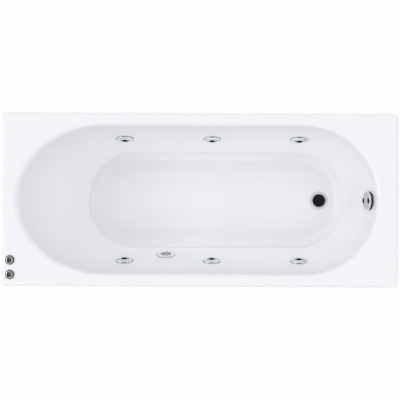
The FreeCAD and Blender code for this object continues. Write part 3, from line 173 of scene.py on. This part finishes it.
FLOOR_TONE = (0.93, 0.935, 0.94)
FLOOR_WHITE = 0.94                     # share of plain white in what the camera sees of the floor
REACH = 40.0
floor_mesh = bpy.data.meshes.new("studio_floor")
floor_mesh.from_pydata([(-REACH, -REACH, 0), (REACH, -REACH, 0), (REACH, REACH, 0), (-REACH, REACH, 0)], [],
                       [(0, 1, 2, 3)])
studio_floor = bpy.data.objects.new("studio_floor", floor_mesh)
bpy.context.scene.collection.objects.link(studio_floor)
paper = Finish("studio_floor", Base_Color=FLOOR_TONE, Roughness=0.95)
ray = paper.node("LightPath")
seen = ray.out("Is Camera Ray") | ray.out("Is Glossy Ray") | ray.out("Is Transmission Ray")
white = paper.node("Emission", None, Color=1.0, Strength=1.0)
shown = paper.node("MixShader", None, seen * FLOOR_WHITE, Reading(paper, paper.shader.outputs[0]), white)
paper.plug(paper.tree.nodes["Material Output"].inputs["Surface"], shown)
floor_mesh.materials.append(paper.material)

# Each stop is the sine of a height over the horizon, and how bright the room is there: for its light, and
# for what bright metal mirrors.
LIGHT = [(0.0, 0.0), (0.16, 0.0), (0.19, 0.19), (0.48, 0.15), (0.51, 1.0), (0.63, 1.0), (0.66, 0.30), (0.76, 0.32),
         (0.79, 0.78), (0.935, 0.78), (0.945, 0.0), (1.0, 0.0)]
LIGHT_LEVEL = 1.92
MIRRORED = [(0.0, 0.95), (0.74, 0.95), (0.80, 0.70), (0.88, 0.20), (0.96, 0.10), (0.99, 0.04)]
white_room = bpy.data.worlds.new("white_room")
bpy.context.scene.world = white_room
room = Finish("white_room", white_room)
upward = room.node("SeparateXYZ", None, room.node("TexCoord").out("Generated")).out("Z")
ray = room.node("LightPath")
lit = room.node("ValToRGB", {"stops": LIGHT}, upward) * LIGHT_LEVEL
lit = room.mix(ray.out("Is Glossy Ray"), lit, room.node("ValToRGB", {"stops": MIRRORED}, upward))
room.feed(Color=room.mix(ray.out("Is Camera Ray") | ray.out("Is Transmission Ray"), lit, 1.0), Strength=1.0)

LAMP_HEIGHT = math.radians(35)         # over the horizon, seen from the bath
LAMP_SPREAD = math.radians(40)
LAMP_LEVEL = 0.46
lamp = bpy.data.lights.new("head_end_lamp", "SUN")
lamp.angle, lamp.energy = LAMP_SPREAD, LAMP_LEVEL
lamp_holder = bpy.data.objects.new("head_end_lamp", lamp)
bpy.context.scene.collection.objects.link(lamp_holder)
lamp_holder.rotation_euler = (0, LAMP_HEIGHT - math.pi / 2, 0)

# ---------------------------------------------------------------- steel cradle
# Two long rails on three cross members, square steel tube, welded where they cross and zinc plated. The
# plating shows as paler and darker flakes. Every open tube end has a black plastic plug.
MM = 0.001
UP = (0, 0, 1)
TOUCHING = 1e-6                        # corners nearer to each other than this, in metres, are one


def smooth_edges(piece, angle):
    """Smooth shading, with an edge kept where two faces meet at more than the angle."""
    name = "smooth_under_%d" % angle
    group = bpy.data.node_groups.get(name)
    if not group:
        group = bpy.data.node_groups.new(name, "GeometryNodeTree")
        for way in ("INPUT", "OUTPUT"):
            group.interface.new_socket("Geometry", in_out=way, socket_type="NodeSocketGeometry")
        make, link = group.nodes.new, group.links.new
        start, end, weld = make("NodeGroupInput"), make("NodeGroupOutput"), make("GeometryNodeMergeByDistance")
        weld.inputs["Distance"].default_value = TOUCHING
        faces, edges = make("GeometryNodeSetShadeSmooth"), make("GeometryNodeSetShadeSmooth")
        edges.domain = "EDGE"
        edges.inputs["Shade Smooth"].default_value = False
        bend, steep = make("GeometryNodeInputMeshEdgeAngle"), make("FunctionNodeCompare")
        steep.inputs["B"].default_value = math.radians(angle)
        link(bend.outputs["Unsigned Angle"], steep.inputs["A"])
        link(start.outputs[0], weld.inputs["Geometry"])
        link(weld.outputs["Geometry"], faces.inputs["Geometry"])
        link(faces.outputs["Geometry"], edges.inputs["Geometry"])
        link(steep.outputs["Result"], edges.inputs["Selection"])
        link(edges.outputs["Geometry"], end.inputs[0])
    piece.modifiers.new("smooth", "NODES").node_group = group
    piece.modifiers.new("flats", "WEIGHTED_NORMAL").keep_sharp = True


def dress(names, finish, angle=32):
    """Gives carried-over pieces their finish."""
    for name in names.split():
        node = frame["nodes"][name]
        node.data.materials.clear()
        node.data.materials.append(finish.material)
        smooth_edges(node, angle)


def seat(place, axis, turn=0.0):
    """Where a detail sits: its own Z is the axis, and it is turned about that by degrees."""
    return (Matrix.Translation(Vector(place)) @ Vector(axis).to_track_quat("Z", "Y").to_matrix().to_4x4()
            @ Matrix.Rotation(math.radians(turn), 4, "Z"))


def turned(mesh, where, profile, sides=40):
    """Adds a form turned about its seat. The profile is (radius, height) steps in millimetres."""
    rows = []
    for radius, height in profile:
        turns = [2 * math.pi * k / sides for k in range(sides)] if radius else [0]
        rows.append([mesh.verts.new(where @ (Vector((radius * math.cos(a), radius * math.sin(a), height)) * MM))
                     for a in turns])
    for low, high in zip(rows, rows[1:]):
        for k in range(sides):
            corners = [low[k % len(low)], low[(k + 1) % len(low)], high[(k + 1) % len(high)], high[k % len(high)]]
            corners = [c for i, c in enumerate(corners) if c not in corners[:i]]
            if len(corners) > 2:
                mesh.faces.new(corners)


def rounded_block(mesh, where, size, edge):
    """Adds a block with rounded edges, its middle on the seat. Size and edge are in millimetres."""
    made = bmesh.ops.create_cube(mesh, size=1.0)["verts"]
    for vert in made:
        vert.co = where @ (Vector(c * s for c, s in zip(vert.co, size)) * MM)
    edges = dict.fromkeys(e for vert in made for e in vert.link_edges)     # each once, in the same order each run
    bmesh.ops.bevel(mesh, geom=list(edges), offset=edge * MM, segments=3, profile=0.5, affect="EDGES")


def finished(name, mesh, finish, body, angle=38):
    """Makes the piece, gives it its finish, and lets it ride on the body that carries it."""
    bmesh.ops.recalc_face_normals(mesh, faces=mesh.faces)
    data = bpy.data.meshes.new(name)
    mesh.to_mesh(data)
    mesh.free()
    data.materials.append(finish.material)
    piece = bpy.data.objects.new(name, data)
    bpy.context.scene.collection.objects.link(piece)
    smooth_edges(piece, angle)
    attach(piece, body)


def plastic(name, dark, light, roughness, pores=2600.0, depth=0.00004):
    """Moulded plastic: a cloudy colour, a fine pored skin and dull and glossy patches."""
    made = Finish(name)
    dull = made.grain(45.0)
    made.feed(Base_Color=made.mix(made.grain(28.0), dark, light), Roughness=roughness + (dull - 0.5) * 0.14,
              Normal=made.relief(made.grain(pores, detail=2.0) + dull * 0.4, depth, strength=0.6))
    return made


# A pair of colours is what a finish's grain goes between.
ZINC = ((0.50, 0.51, 0.53), (0.72, 0.73, 0.74))
BEAD_STEEL = ((0.30, 0.29, 0.28), (0.60, 0.60, 0.61))
zinc = Finish("zinc_steel", Metallic=1.0)
flake, cloud = zinc.chips(240.0), zinc.grain(18.0, detail=4.0)
zinc.feed(Base_Color=zinc.mix(flake * 0.6 + cloud * 0.4, *ZINC), Roughness=0.28 + flake * 0.18 + cloud * 0.1,
          Normal=zinc.relief(zinc.grain(900.0, detail=2.0) + flake * 0.5, depth=0.00006, strength=0.5))
dress("rail_front rail_rear cross_head cross_middle cross_foot", zinc)
black = plastic("black_moulding", dark=(0.020, 0.020, 0.023), light=(0.040, 0.040, 0.044), roughness=0.46)
bead = Finish("weld_bead", Metallic=1.0)
scale = bead.grain(380.0, detail=4.0)
bead.feed(Base_Color=bead.mix(scale, *BEAD_STEEL), Roughness=0.35 + scale * 0.3,
          Normal=bead.relief(scale, depth=0.0002, strength=0.5))

# The lengths from here to the end of the section are in millimetres.
RAIL_Y, TUBE, RAIL_LOW = 170.0, 25.0, 120.0
RAIL_ENDS = (-783.2, 743.2)
CROSSINGS, CROSS_END = (-700.0, 60.0, 690.0), 336.2
RIPPLES, RIPPLE_STEP, RIPPLE_TURN = 11, 2.2, 17.0
RIPPLE = ((0, -1.6), (2.1, -1.0), (2.7, 0.1), (2.0, 1.2), (0, 1.8))
BEAD_OUT, BEAD_UP, BEAD_LEAN = 0.6, 0.4, 0.25
PLUG, PLUG_EDGE = (25, 25, 3.2), 1.2
beads, plugs = bmesh.new(), bmesh.new()
for x in CROSSINGS:
    for side in (-1, 1):
        for face in (-1, 1):
            y = side * RAIL_Y + face * (TUBE / 2 + BEAD_OUT)
            for k in range(RIPPLES):
                along = x + (k - (RIPPLES - 1) / 2) * RIPPLE_STEP
                spot = (along * MM, y * MM, (RAIL_LOW + BEAD_UP) * MM)
                turned(beads, seat(spot, (BEAD_LEAN, face, 1), RIPPLE_TURN * k), RIPPLE, sides=10)
        end = (x * MM, side * CROSS_END * MM, (RAIL_LOW - TUBE / 2) * MM)
        rounded_block(plugs, seat(end, (0, 1, 0)), PLUG, PLUG_EDGE)
for x in RAIL_ENDS:
    for side in (-1, 1):
        end = (x * MM, side * RAIL_Y * MM, (RAIL_LOW + TUBE / 2) * MM)
        rounded_block(plugs, seat(end, (1, 0, 0)), PLUG, PLUG_EDGE)
finished("cradle_welds", beads, bead, "tub_body", angle=60)
finished("tube_end_plugs", plugs, black, "tub_body", angle=50)

# ---------------------------------------------------------------- levelling feet
# Each foot is a black moulded pad on a zinc-plated threaded stem. The stem screws into a boss under the end
# of its cross member, and a hexagon lock nut holds it there.
PAD_BLACK = ((0.020, 0.020, 0.023), (0.042, 0.042, 0.045))
STEM_ZINC = ((0.52, 0.53, 0.54), (0.72, 0.73, 0.74))
PAD_HEIGHT, PAD_LINE = 0.0165, 0.0005  # metres
THREAD = 2 * math.pi / 0.00175         # a ridge for each 1.75 mm up the stem
foot = Finish("levelling_foot")
height = foot.place("Z")
stem = foot.between(height, PAD_HEIGHT, PAD_HEIGHT + PAD_LINE)
dull = foot.grain(60.0)
ridge = foot.sum("SINE", height * THREAD) * 0.5 + 0.5
foot.feed(Base_Color=foot.mix(stem, foot.mix(dull, *PAD_BLACK), foot.mix(dull, *STEM_ZINC)),
          Metallic=stem, Roughness=0.5 - stem * 0.22 + dull * 0.1,
          Normal=foot.relief(stem * ridge + (1.0 - stem) * foot.grain(2400.0) * 0.05, depth=0.0007))
dress("foot_1 foot_2 foot_3 foot_4", foot)
dress("foot_lock_nuts", zinc)

# ---------------------------------------------------------------- base board and battens
# A chipboard panel is bonded under the floor to stiffen it. A planed softwood batten under each long rim
# takes the screws of the wall brackets. Strips of resin mat tie the board's long edges to the tub.
CHIPBOARD = ((0.40, 0.27, 0.15), (0.80, 0.64, 0.43))
SOFTWOOD = ((0.56, 0.38, 0.20), (0.80, 0.63, 0.41))
GLASS_MAT = ((0.60, 0.59, 0.50), (0.84, 0.83, 0.77))
board = Finish("chipboard")
chip, dust = board.chips(260.0, stretch=(1.0, 0.35, 1.0)), board.grain(900.0, detail=4.0)
board.feed(Base_Color=board.mix(chip * 0.7 + dust * 0.3, *CHIPBOARD), Roughness=0.78 + dust * 0.12,
           Normal=board.relief(chip + dust * 0.6, depth=0.0003, strength=0.5))
dress("base_board", board)
planed = Finish("planed_timber")
year_waves = planed.grain(14.0, stretch=(0.08, 1.0, 1.0), detail=5.0, Distortion=1.2)
rings = planed.sum("FRACT", year_waves * 9.0)
streak = planed.grain(420.0, stretch=(0.02, 1.0, 1.0))
planed.feed(Base_Color=planed.mix(rings * 0.55 + streak * 0.45, *SOFTWOOD), Roughness=0.5 + streak * 0.25,
            Normal=planed.relief(streak + rings * 0.3, depth=0.0002, strength=0.5))
dress("batten_front batten_rear", planed)


def resin_mat(finish):
    """Chopped glass strands in creamy resin: its colour, and its height from 0 to 1."""
    along = finish.grain(520.0, stretch=(1.0, 0.18, 1.0), detail=4.0, Distortion=2.5)
    across = finish.grain(480.0, stretch=(0.2, 1.0, 0.6), detail=4.0, Distortion=2.5)
    strands = (along + across) * 0.5
    return finish.mix(strands * 0.75 + finish.grain(9.0) * 0.25, *GLASS_MAT), strands


MAT_DEPTH, MAT_STRENGTH = 0.0016, 0.8
mat_strip = Finish("resin_mat", Roughness=0.5)
mat_colour, mat_height = resin_mat(mat_strip)
mat_strip.feed(Base_Color=mat_colour, Normal=mat_strip.relief(mat_height, MAT_DEPTH, MAT_STRENGTH))

# Millimetres: the mat's inner face from the board's edge up to the tub, and how thick the mat is.
STRIP = [(185.1, 146.5), (185.4, 157.0), (186.4, 165.5), (188.8, 171.2), (193.4, 175.0), (199.0, 180.9)]
STRIP_X, STRIP_STEPS = (-340.0, 400.0), 74
MAT_OUT, MAT_DOWN = 1.1, 0.6
TORN = ((1.1, 1.9), (0.8, 3.7))        # two waves of the torn edges: height, and radians for each step
HANGS, UPPER_SHARE = 0.8, 0.6          # how far the lower edge hangs, and the upper edge's share of the waves
(high_wave, slow), (low_wave, quick) = TORN
strips = bmesh.new()
for side in (-1, 1):
    rows = []
    for k in range(STRIP_STEPS + 1):
        x = STRIP_X[0] + (STRIP_X[1] - STRIP_X[0]) * k / STRIP_STEPS
        ragged = high_wave * math.sin(k * slow) + low_wave * math.sin(k * quick + side)
        outer = [(y + MAT_OUT, z - MAT_DOWN) for y, z in STRIP]
        outer[0] = (outer[0][0], STRIP[0][1] - (HANGS + ragged))
        outer[-1] = (outer[-1][0], outer[-1][1] + ragged * UPPER_SHARE)
        rows.append([strips.verts.new(Vector((x, side * y, z)) * MM) for y, z in STRIP + outer[::-1]])
    for low, high in zip(rows, rows[1:]):
        for i in range(len(low)):
            j = (i + 1) % len(low)
            strips.faces.new((low[i], low[j], high[j], high[i]))
    strips.faces.new(rows[0])
    strips.faces.new(rows[-1])
finished("board_mat_strips", strips, mat_strip, "tub_body", angle=50)

# ---------------------------------------------------------------- tub
# One sheet of white acrylic, drawn down over a mould while hot, so that its face is glossy with a faint
# ripple. Its back is sprayed and rolled with chopped glass fibre in resin, which is rough and creamy.
ACRYLIC = (0.922, 0.930, 0.953)
# Painted reflection: a slightly darker white, spread in slow patches over the face as soft mottled reflections.
PAINTED_MOTTLE_WHITE = tuple(c * 0.985 for c in ACRYLIC)
EDGE_DEPTH = 0.04                      # of the rim's turned-down edge, in metres
DOWNWARD, INWARD, UPRIGHT = -0.03, -0.001, 0.1
acrylic = Finish("white_acrylic", Specular_IOR_Level=0.42)
facing = acrylic.node("SeparateXYZ", None, acrylic.node("NewGeometry").out("True Normal"))
turned_in = (facing.out("X") * acrylic.place("X") + facing.out("Y") * acrylic.place("Y")) < INWARD
upright = abs(facing.out("Z")) < UPRIGHT
edge_back = turned_in * upright * (acrylic.place("Z") > RIM_TOP - EDGE_DEPTH)
back = (facing.out("Z") < DOWNWARD) | edge_back
mat_colour, mat_height = resin_mat(acrylic)
# cloud places the painted mottled reflections of the darker white on the face.
cloud = acrylic.grain(5.0, detail=2.0)
ripple = acrylic.grain(60.0, detail=2.0)
acrylic.feed(Base_Color=acrylic.mix(back, acrylic.mix(cloud, ACRYLIC, PAINTED_MOTTLE_WHITE), mat_colour),
             Roughness=0.20 + back * 0.35 + cloud * 0.03,
             Normal=acrylic.relief(back * mat_height + (1.0 - back) * ripple * 0.012, MAT_DEPTH, MAT_STRENGTH))
dress("tub_shell", acrylic, angle=20)


# ---------------------------------------------------------------- jets
# Six jets: a chromed ring on a grey seal turns in the wall and carries a ball, chromed but for a near-black face
# round its mouth, where a black throat is pressed in. Face and throat are partly black moulding and partly painted
# shade inside the mouth. The grey body behind the wall joins water and air line.
def polish(finish, stretch=(0.1, 1.0, 1.0)):
    """Wiped water marks, 0 to 1, and the relief of fine polishing lines."""
    lines = finish.grain(600.0, stretch, detail=2.0)
    return finish.grain(70.0, detail=4.0), finish.relief(lines, depth=0.00002, strength=0.25)


def plated(name, dark, light, roughness):
    """Bright metal with the haze of wiped water marks and fine polishing lines."""
    made = Finish(name, Metallic=1.0)
    haze, lines = polish(made)
    made.feed(Base_Color=made.mix(haze, dark, light), Roughness=roughness + haze * 0.08, Normal=lines)
    return made


CHROME = ((0.76, 0.77, 0.79), (0.84, 0.85, 0.865))
CHROME_ROUGHNESS = 0.035
chrome = plated("polished_chrome", *CHROME, CHROME_ROUGHNESS)
grey = plastic("grey_moulding", dark=(0.36, 0.38, 0.40), light=(0.47, 0.49, 0.51), roughness=0.42)
rubber = plastic("seal_rubber", dark=(0.035, 0.035, 0.036), light=(0.065, 0.065, 0.066), roughness=0.72,
                 pores=1400.0, depth=0.0001)
glossy_black = plastic("glossy_black", dark=(0.008, 0.008, 0.010), light=(0.016, 0.016, 0.019), roughness=0.18,
                       pores=900.0, depth=0.00002)

JET_XS, JET_Y, JET_Z = (-0.318, 0.051, 0.420), 0.257779, 0.415
LEAN_IN, LEAN_UP = 0.968787, 0.247895  # the jets' axis, towards the middle of the bath and up
FACE_RADIUS = 0.0142                   # of the ball's near-black face, black moulding and painted shade of the mouth, about the jet's axis
# The near-black face is partly black moulding and partly painted shade inside the jet's mouth.
MOUTH_BLACK_AND_SHADE = (0.010, 0.010, 0.012)
ball = Finish("jet_ball")
beside = [abs(ball.place("X") - x) for x in JET_XS]
nearest = ball.sum("MINIMUM", ball.sum("MINIMUM", beside[0], beside[1]), beside[2])
above = (abs(ball.place("Y")) - JET_Y) * LEAN_UP + (ball.place("Z") - JET_Z) * LEAN_IN
black_and_shade_face = (nearest * nearest + above * above) < FACE_RADIUS ** 2
haze, lines = polish(ball)
ball.feed(Base_Color=ball.mix(black_and_shade_face, ball.mix(haze, *CHROME), MOUTH_BLACK_AND_SHADE), Metallic=1.0 - black_and_shade_face,
          Roughness=CHROME_ROUGHNESS + black_and_shade_face * 0.2 + haze * 0.08, Normal=lines)

THROAT = ((0, -10.0), (4.2, -10.0), (4.2, -4.8), (9.2, -3.9), (11.35, 0.4), (11.35, 7.6), (10.6, 7.6), (10.6, 1.0),
          (7.6, -2.6), (3.0, -3.4), (3.0, -8.6), (0, -8.6))
JET_SEAL = ((36.2, 0.2), (38.7, 0.2), (38.7, 1.6), (37.9, 2.6), (36.4, 2.3), (36.2, 0.2))
joints = {joint["name"]: joint for joint in frame["joints"]}
seals = bmesh.new()
for k in range(1, 7):
    dress("jet_ring_%d" % k, chrome)
    dress("jet_nozzle_%d" % k, ball)
    turn = joints["jet_ring_%d_turn" % k]
    jet_seat = seat(turn["pos_m"], turn["axis"])
    throat = bmesh.new()
    turned(throat, jet_seat, THROAT)
    finished("jet_throat_%d" % k, throat, glossy_black, "jet_nozzle_%d" % k)
    turned(seals, jet_seat, JET_SEAL, sides=64)
finished("jet_seals", seals, grey, "tub_body")
dress("jet_bodies_front jet_bodies_rear", grey)
dress("fitting_nuts", grey)
dress("fitting_gaskets", rubber)

# ---------------------------------------------------------------- suction fitting
# A bright ring on a grey seal, with a grey perforated cover, so that no hair or finger reaches the pipe. The seal's
# grey also stands in for the shadow line under the ring's edge, as painted shadow. One cross-slot screw in the middle
# holds the cover. The body behind the wall is white plastic.
BODY_WHITE = ((0.82, 0.83, 0.82), (0.88, 0.89, 0.88))
RING_BRIGHT = (0.92, 0.925, 0.93)
RING_NEAR, RING_LOW = 0.2445, 0.25     # the ring is nearer the middle of the bath, and higher, than these
suction = Finish("suction_body")
ring = (0.0 - suction.place("Y") < RING_NEAR) * (suction.place("Z") > RING_LOW)
dull = suction.grain(60.0)
suction.feed(Base_Color=suction.mix(ring, suction.mix(dull, *BODY_WHITE), RING_BRIGHT), Metallic=ring,
             Roughness=0.34 - ring * 0.22 + dull * 0.08, Normal=suction.relief(dull, depth=0.00004, strength=0.5))
dress("suction_body", suction)
cover = plated("satin_cover", dark=(0.40, 0.41, 0.42), light=(0.56, 0.57, 0.58), roughness=0.22)
dress("suction_grille", cover)

SUCTION_PLACE, WALL_LEAN = (-0.145, -0.2386, 0.340), (0, LEAN_IN, LEAN_UP)
COVER_SCREW = ((0, 6.0), (3.4, 6.0), (3.6, 7.2), (3.1, 8.3), (1.9, 8.8), (0, 8.9))
SLOT, SLOT_EDGE, SLOT_TURNS = (4.6, 0.9, 0.5), 0.12, (20, 110)
SLOT_OUT = Matrix.Translation((0, 0, 8.75 * MM))
# The seal is partly a real seal and partly painted shadow: its grey draws the shadow line round the ring.
SEAL_AND_SHADOW_LINE = ((37.6, 0.2), (40.4, 0.2), (40.4, 2.0), (39.4, 3.1), (37.8, 2.8), (37.6, 0.2))
screw, slots, seal = bmesh.new(), bmesh.new(), bmesh.new()
turned(screw, seat(SUCTION_PLACE, WALL_LEAN), COVER_SCREW, sides=28)
finished("cover_screw", screw, chrome, "tub_body")
for turn in SLOT_TURNS:
    rounded_block(slots, seat(SUCTION_PLACE, WALL_LEAN, turn) @ SLOT_OUT, SLOT, SLOT_EDGE)
finished("cover_screw_slots", slots, black, "tub_body")
turned(seal, seat(SUCTION_PLACE, WALL_LEAN), SEAL_AND_SHADOW_LINE, sides=64)
finished("suction_seal_shadow_line", seal, grey, "tub_body")

# ---------------------------------------------------------------- waste and overflow
# A pale flange is screwed down on the floor, and a black pop-up plug with a bright rim sits in its dish. The
# knob in the wall at the foot works the plug, and water enters behind it. Its two finger holds and the collar
# behind it are painted near-black: painted shade in the holds and in the gap between knob and wall.
pale = plastic("pale_flange", dark=(0.70, 0.71, 0.715), light=(0.79, 0.80, 0.805), roughness=0.26)
dress("drain_flange", pale)
dress("drain_plug", glossy_black)
dress("drain_body overflow_body", grey)

DRAIN_PLACE = (0.540, 0, 0.1697)
PLUG_TRIM = ((28.9, 3.6), (29.3, 4.6), (30.2, 4.5), (31.05, 3.2), (31.15, 1.7), (30.3, 1.2), (28.9, 3.6))
plug_rim = plated("plug_rim", dark=(0.88, 0.89, 0.90), light=(0.94, 0.95, 0.955), roughness=0.52)
trim = bmesh.new()
turned(trim, seat(DRAIN_PLACE, UP), PLUG_TRIM, sides=64)
finished("plug_trim", trim, plug_rim, "drain_plug")

KNOB_SIDE = ((0.52, 0.53, 0.54), (0.66, 0.67, 0.68))
KNOB_FACE = (0.86, 0.87, 0.88)
FACE_STARTS, FACE_WHOLE = 0.0188, 0.0196   # metres from the knob's seat, along its axis
knob = joints["knob_turn"]
knob_metal = Finish("satin_knob", Metallic=1.0)
ahead = knob_metal.place("X") * knob["axis"][0] + knob_metal.place("Z") * knob["axis"][2]
seated = Vector(knob["pos_m"]).dot(Vector(knob["axis"]))
knob_face = knob_metal.between(ahead, seated + FACE_STARTS, seated + FACE_WHOLE)
haze, lines = polish(knob_metal, stretch=(1.0, 0.1, 1.0))
knob_metal.feed(Base_Color=knob_metal.mix(knob_face, KNOB_FACE, knob_metal.mix(haze, *KNOB_SIDE)),
                Roughness=0.40 - knob_face * 0.08 + haze * 0.08, Normal=lines)
dress("overflow_knob", knob_metal)

# The collar draws the gap between the knob and the wall as painted shade.
KNOB_SHADE_COLLAR = ((25.0, 4.2), (35.4, 4.2), (36.9, 5.4), (36.9, 10.9), (25.0, 10.9), (25.0, 4.2))
HOLD = ((0, -0.9), (10.8, -0.9), (11.4, 0.0), (11.0, 0.5), (9.8, 0.6), (0, 0.5))
HOLD_ASIDE, HOLD_AHEAD = 24.4, 20.4
HOLD_WIDTH = 0.78                      # as a share of its height
# Painted shade: a near-black, dull finish with little sheen, for the finger holds and the gap behind the knob.
dark = plastic("painted_shade_recess", dark=(0.006, 0.006, 0.007), light=(0.012, 0.012, 0.013), roughness=0.7)
dark.feed(Specular_IOR_Level=0.15)
knob_seat = seat(knob["pos_m"], knob["axis"])
collar, holds = bmesh.new(), bmesh.new()
turned(collar, knob_seat, KNOB_SHADE_COLLAR, sides=64)
finished("knob_collar_painted_shade", collar, dark, "overflow_knob")
for way in (-1, 1):
    off_middle = Matrix.Translation((0, way * HOLD_ASIDE * MM, HOLD_AHEAD * MM))
    turned(holds, knob_seat @ off_middle @ Matrix.Diagonal((1.0, HOLD_WIDTH, 1.0, 1.0)), HOLD)
finished("knob_finger_holds_painted_shade", holds, dark, "overflow_knob")

PIPE_WHITE = ((0.80, 0.81, 0.79), (0.88, 0.89, 0.87))
white_pipe = Finish("white_pipe", Specular_IOR_Level=0.45)
drawn = white_pipe.grain(160.0, stretch=(0.05, 1.0, 1.0), detail=4.0)
white_pipe.feed(Base_Color=white_pipe.mix(drawn, *PIPE_WHITE), Roughness=0.28 + drawn * 0.16,
                Normal=white_pipe.relief(drawn, depth=0.00008, strength=0.4))
dress("waste_trap", white_pipe)
ribbed = plastic("grey_hose", dark=(0.40, 0.42, 0.44), light=(0.50, 0.52, 0.54), roughness=0.5,
                 pores=500.0, depth=0.0002)
dress("overflow_hose", ribbed)

# ---------------------------------------------------------------- deck controls
# Two chromed controls stand on the deck at the head end: a push button that works the pump by air, and a
# fluted knob that lets air into the jets. A nut under the deck holds each of them.
dress("button_body button_cap regulator_body regulator_knob", chrome)

# ---------------------------------------------------------------- pump
# A water pump on a folded plate: black moulded casing held by eight hexagon screws, finned motor body of cast
# aluminium, black cowl over the fan, and a grey switch box. It stands on four rubber mounts.
CAST_METAL = ((0.50, 0.50, 0.51), (0.66, 0.66, 0.67))
dress("pump_casing fan_cowl motor_fan", black)
dress("pump_mounts", rubber)
dress("pump_plate motor_shaft", zinc)
dress("switch_box", grey)
dress("pump_impeller", white_pipe)
cast = Finish("cast_aluminium", Metallic=1.0)
sand, soot = cast.grain(1500.0, detail=4.0), cast.grain(12.0)
cast.feed(Base_Color=cast.mix(soot, *CAST_METAL), Roughness=0.5 + sand * 0.2,
          Normal=cast.relief(sand, depth=0.0002, strength=0.7))
dress("motor_housing", cast)


def hexagon_screw(mesh, place, axis, across, turn=0.0):
    """Adds a hexagon head on its washer, sitting on a face. The width across its corners is in millimetres."""
    corner, bevel, washer = across / 2, across / 2 * 0.86, across / 2 * 1.35
    turned(mesh, seat(place, axis), ((0, 0), (washer, 0), (washer, 1.0), (0, 1.0)), sides=24)
    turned(mesh, seat(place, axis, turn), ((0, 1.0), (corner, 1.0), (corner, 4.2), (bevel, 4.9), (0, 4.9)), sides=6)


PUMP_MIDDLE, CASING_FACE = Vector((-0.690, 0, 0.245)), Vector((0, -0.065, 0))
CASING_SCREWS, SCREW_CIRCLE, CASING_SCREW = 8, 0.080, 8.6
MOUNT_SCREWS, MOUNT_SCREW = [(x, y, 0.170) for x in (-0.728, -0.652) for y in (0.004, 0.084)], 9.0
LID_SCREWS = [(x, y, 0.345) for x in (-0.729, -0.675) for y in (0.015, 0.077)]
LID_SCREW = ((0, 0), (2.9, 0), (2.9, 0.8), (2.2, 1.5), (0, 1.7))
screws, lid_screws = bmesh.new(), bmesh.new()
for k in range(CASING_SCREWS):          # each head was left at a turn of its own
    angle = k * 2 * math.pi / CASING_SCREWS
    around = Vector((math.cos(angle), 0, math.sin(angle))) * SCREW_CIRCLE
    hexagon_screw(screws, PUMP_MIDDLE + around + CASING_FACE, (0, -1, 0), CASING_SCREW, 11.0 * k)
for place in MOUNT_SCREWS:
    hexagon_screw(screws, place, UP, MOUNT_SCREW, 25.0 + 300 * place[1])
finished("pump_screws", screws, zinc, "tub_body", angle=30)
for place in LID_SCREWS:
    turned(lid_screws, seat(place, UP), LID_SCREW, sides=20)
finished("lid_screws", lid_screws, zinc, "tub_body")

# ---------------------------------------------------------------- pipes and hoses
# Rigid white pipe carries the water and the air along both sides. A soft clear hose brings the air over from
# the regulator, where a clip holds it on its barb. A grey union joins each of its other ends to an air pipe.
CLEAR_HOSE = ((0.68, 0.73, 0.74), (0.80, 0.84, 0.85))
dress("suction_pipe delivery_pipe water_pipe_front water_pipe_rear air_pipe_front air_pipe_rear", white_pipe)
clear = Finish("clear_hose", Specular_IOR_Level=0.5, Transmission_Weight=0.25)
milky = clear.grain(35.0, detail=4.0)
clear.feed(Base_Color=clear.mix(milky, *CLEAR_HOSE), Roughness=0.18 + milky * 0.14,
           Normal=clear.relief(clear.grain(300.0), depth=0.00008, strength=0.4))
dress("air_hose", clear)

UNION = ((8.1, -17.0), (10.6, -17.0), (10.6, -13.5), (9.6, -12.5), (9.6, -2.0), (10.2, -1.2), (10.2, 1.2), (9.6, 2.0),
         (9.6, 12.5), (10.6, 13.5), (10.6, 17.0), (8.1, 17.0), (8.1, -17.0))
UNION_PLACES = ((-0.560, -0.30264, 0.4572), (-0.560, 0.30264, 0.4572))
unions = bmesh.new()
for place in UNION_PLACES:
    turned(unions, seat(place, (1, 0, 0)), UNION)
finished("hose_unions", unions, grey, "tub_body")

CLIP_PLACE, CLIP_TURN = (-0.763, -0.303, 0.5275), 35
BAND = ((8.1, -4.2), (8.9, -4.2), (8.9, 4.2), (8.1, 4.2), (8.1, -4.2))
HOUSING, HOUSING_EDGE, HOUSING_OUT = (5.0, 11.0, 8.0), 1.6, 11.0
CLIP_SCREW, SCREW_OUT = 6.4, 5.2
clip = bmesh.new()
turned(clip, seat(CLIP_PLACE, UP), BAND, sides=48)
housing = seat(CLIP_PLACE, UP, CLIP_TURN) @ Matrix.Translation((HOUSING_OUT * MM, 0, 0))
rounded_block(clip, housing, HOUSING, HOUSING_EDGE)
hexagon_screw(clip, housing @ Vector((0, SCREW_OUT * MM, 0)), housing.to_3x3() @ Vector((0, 1, 0)), CLIP_SCREW)
finished("hose_clip", clip, zinc, "tub_body", angle=30)
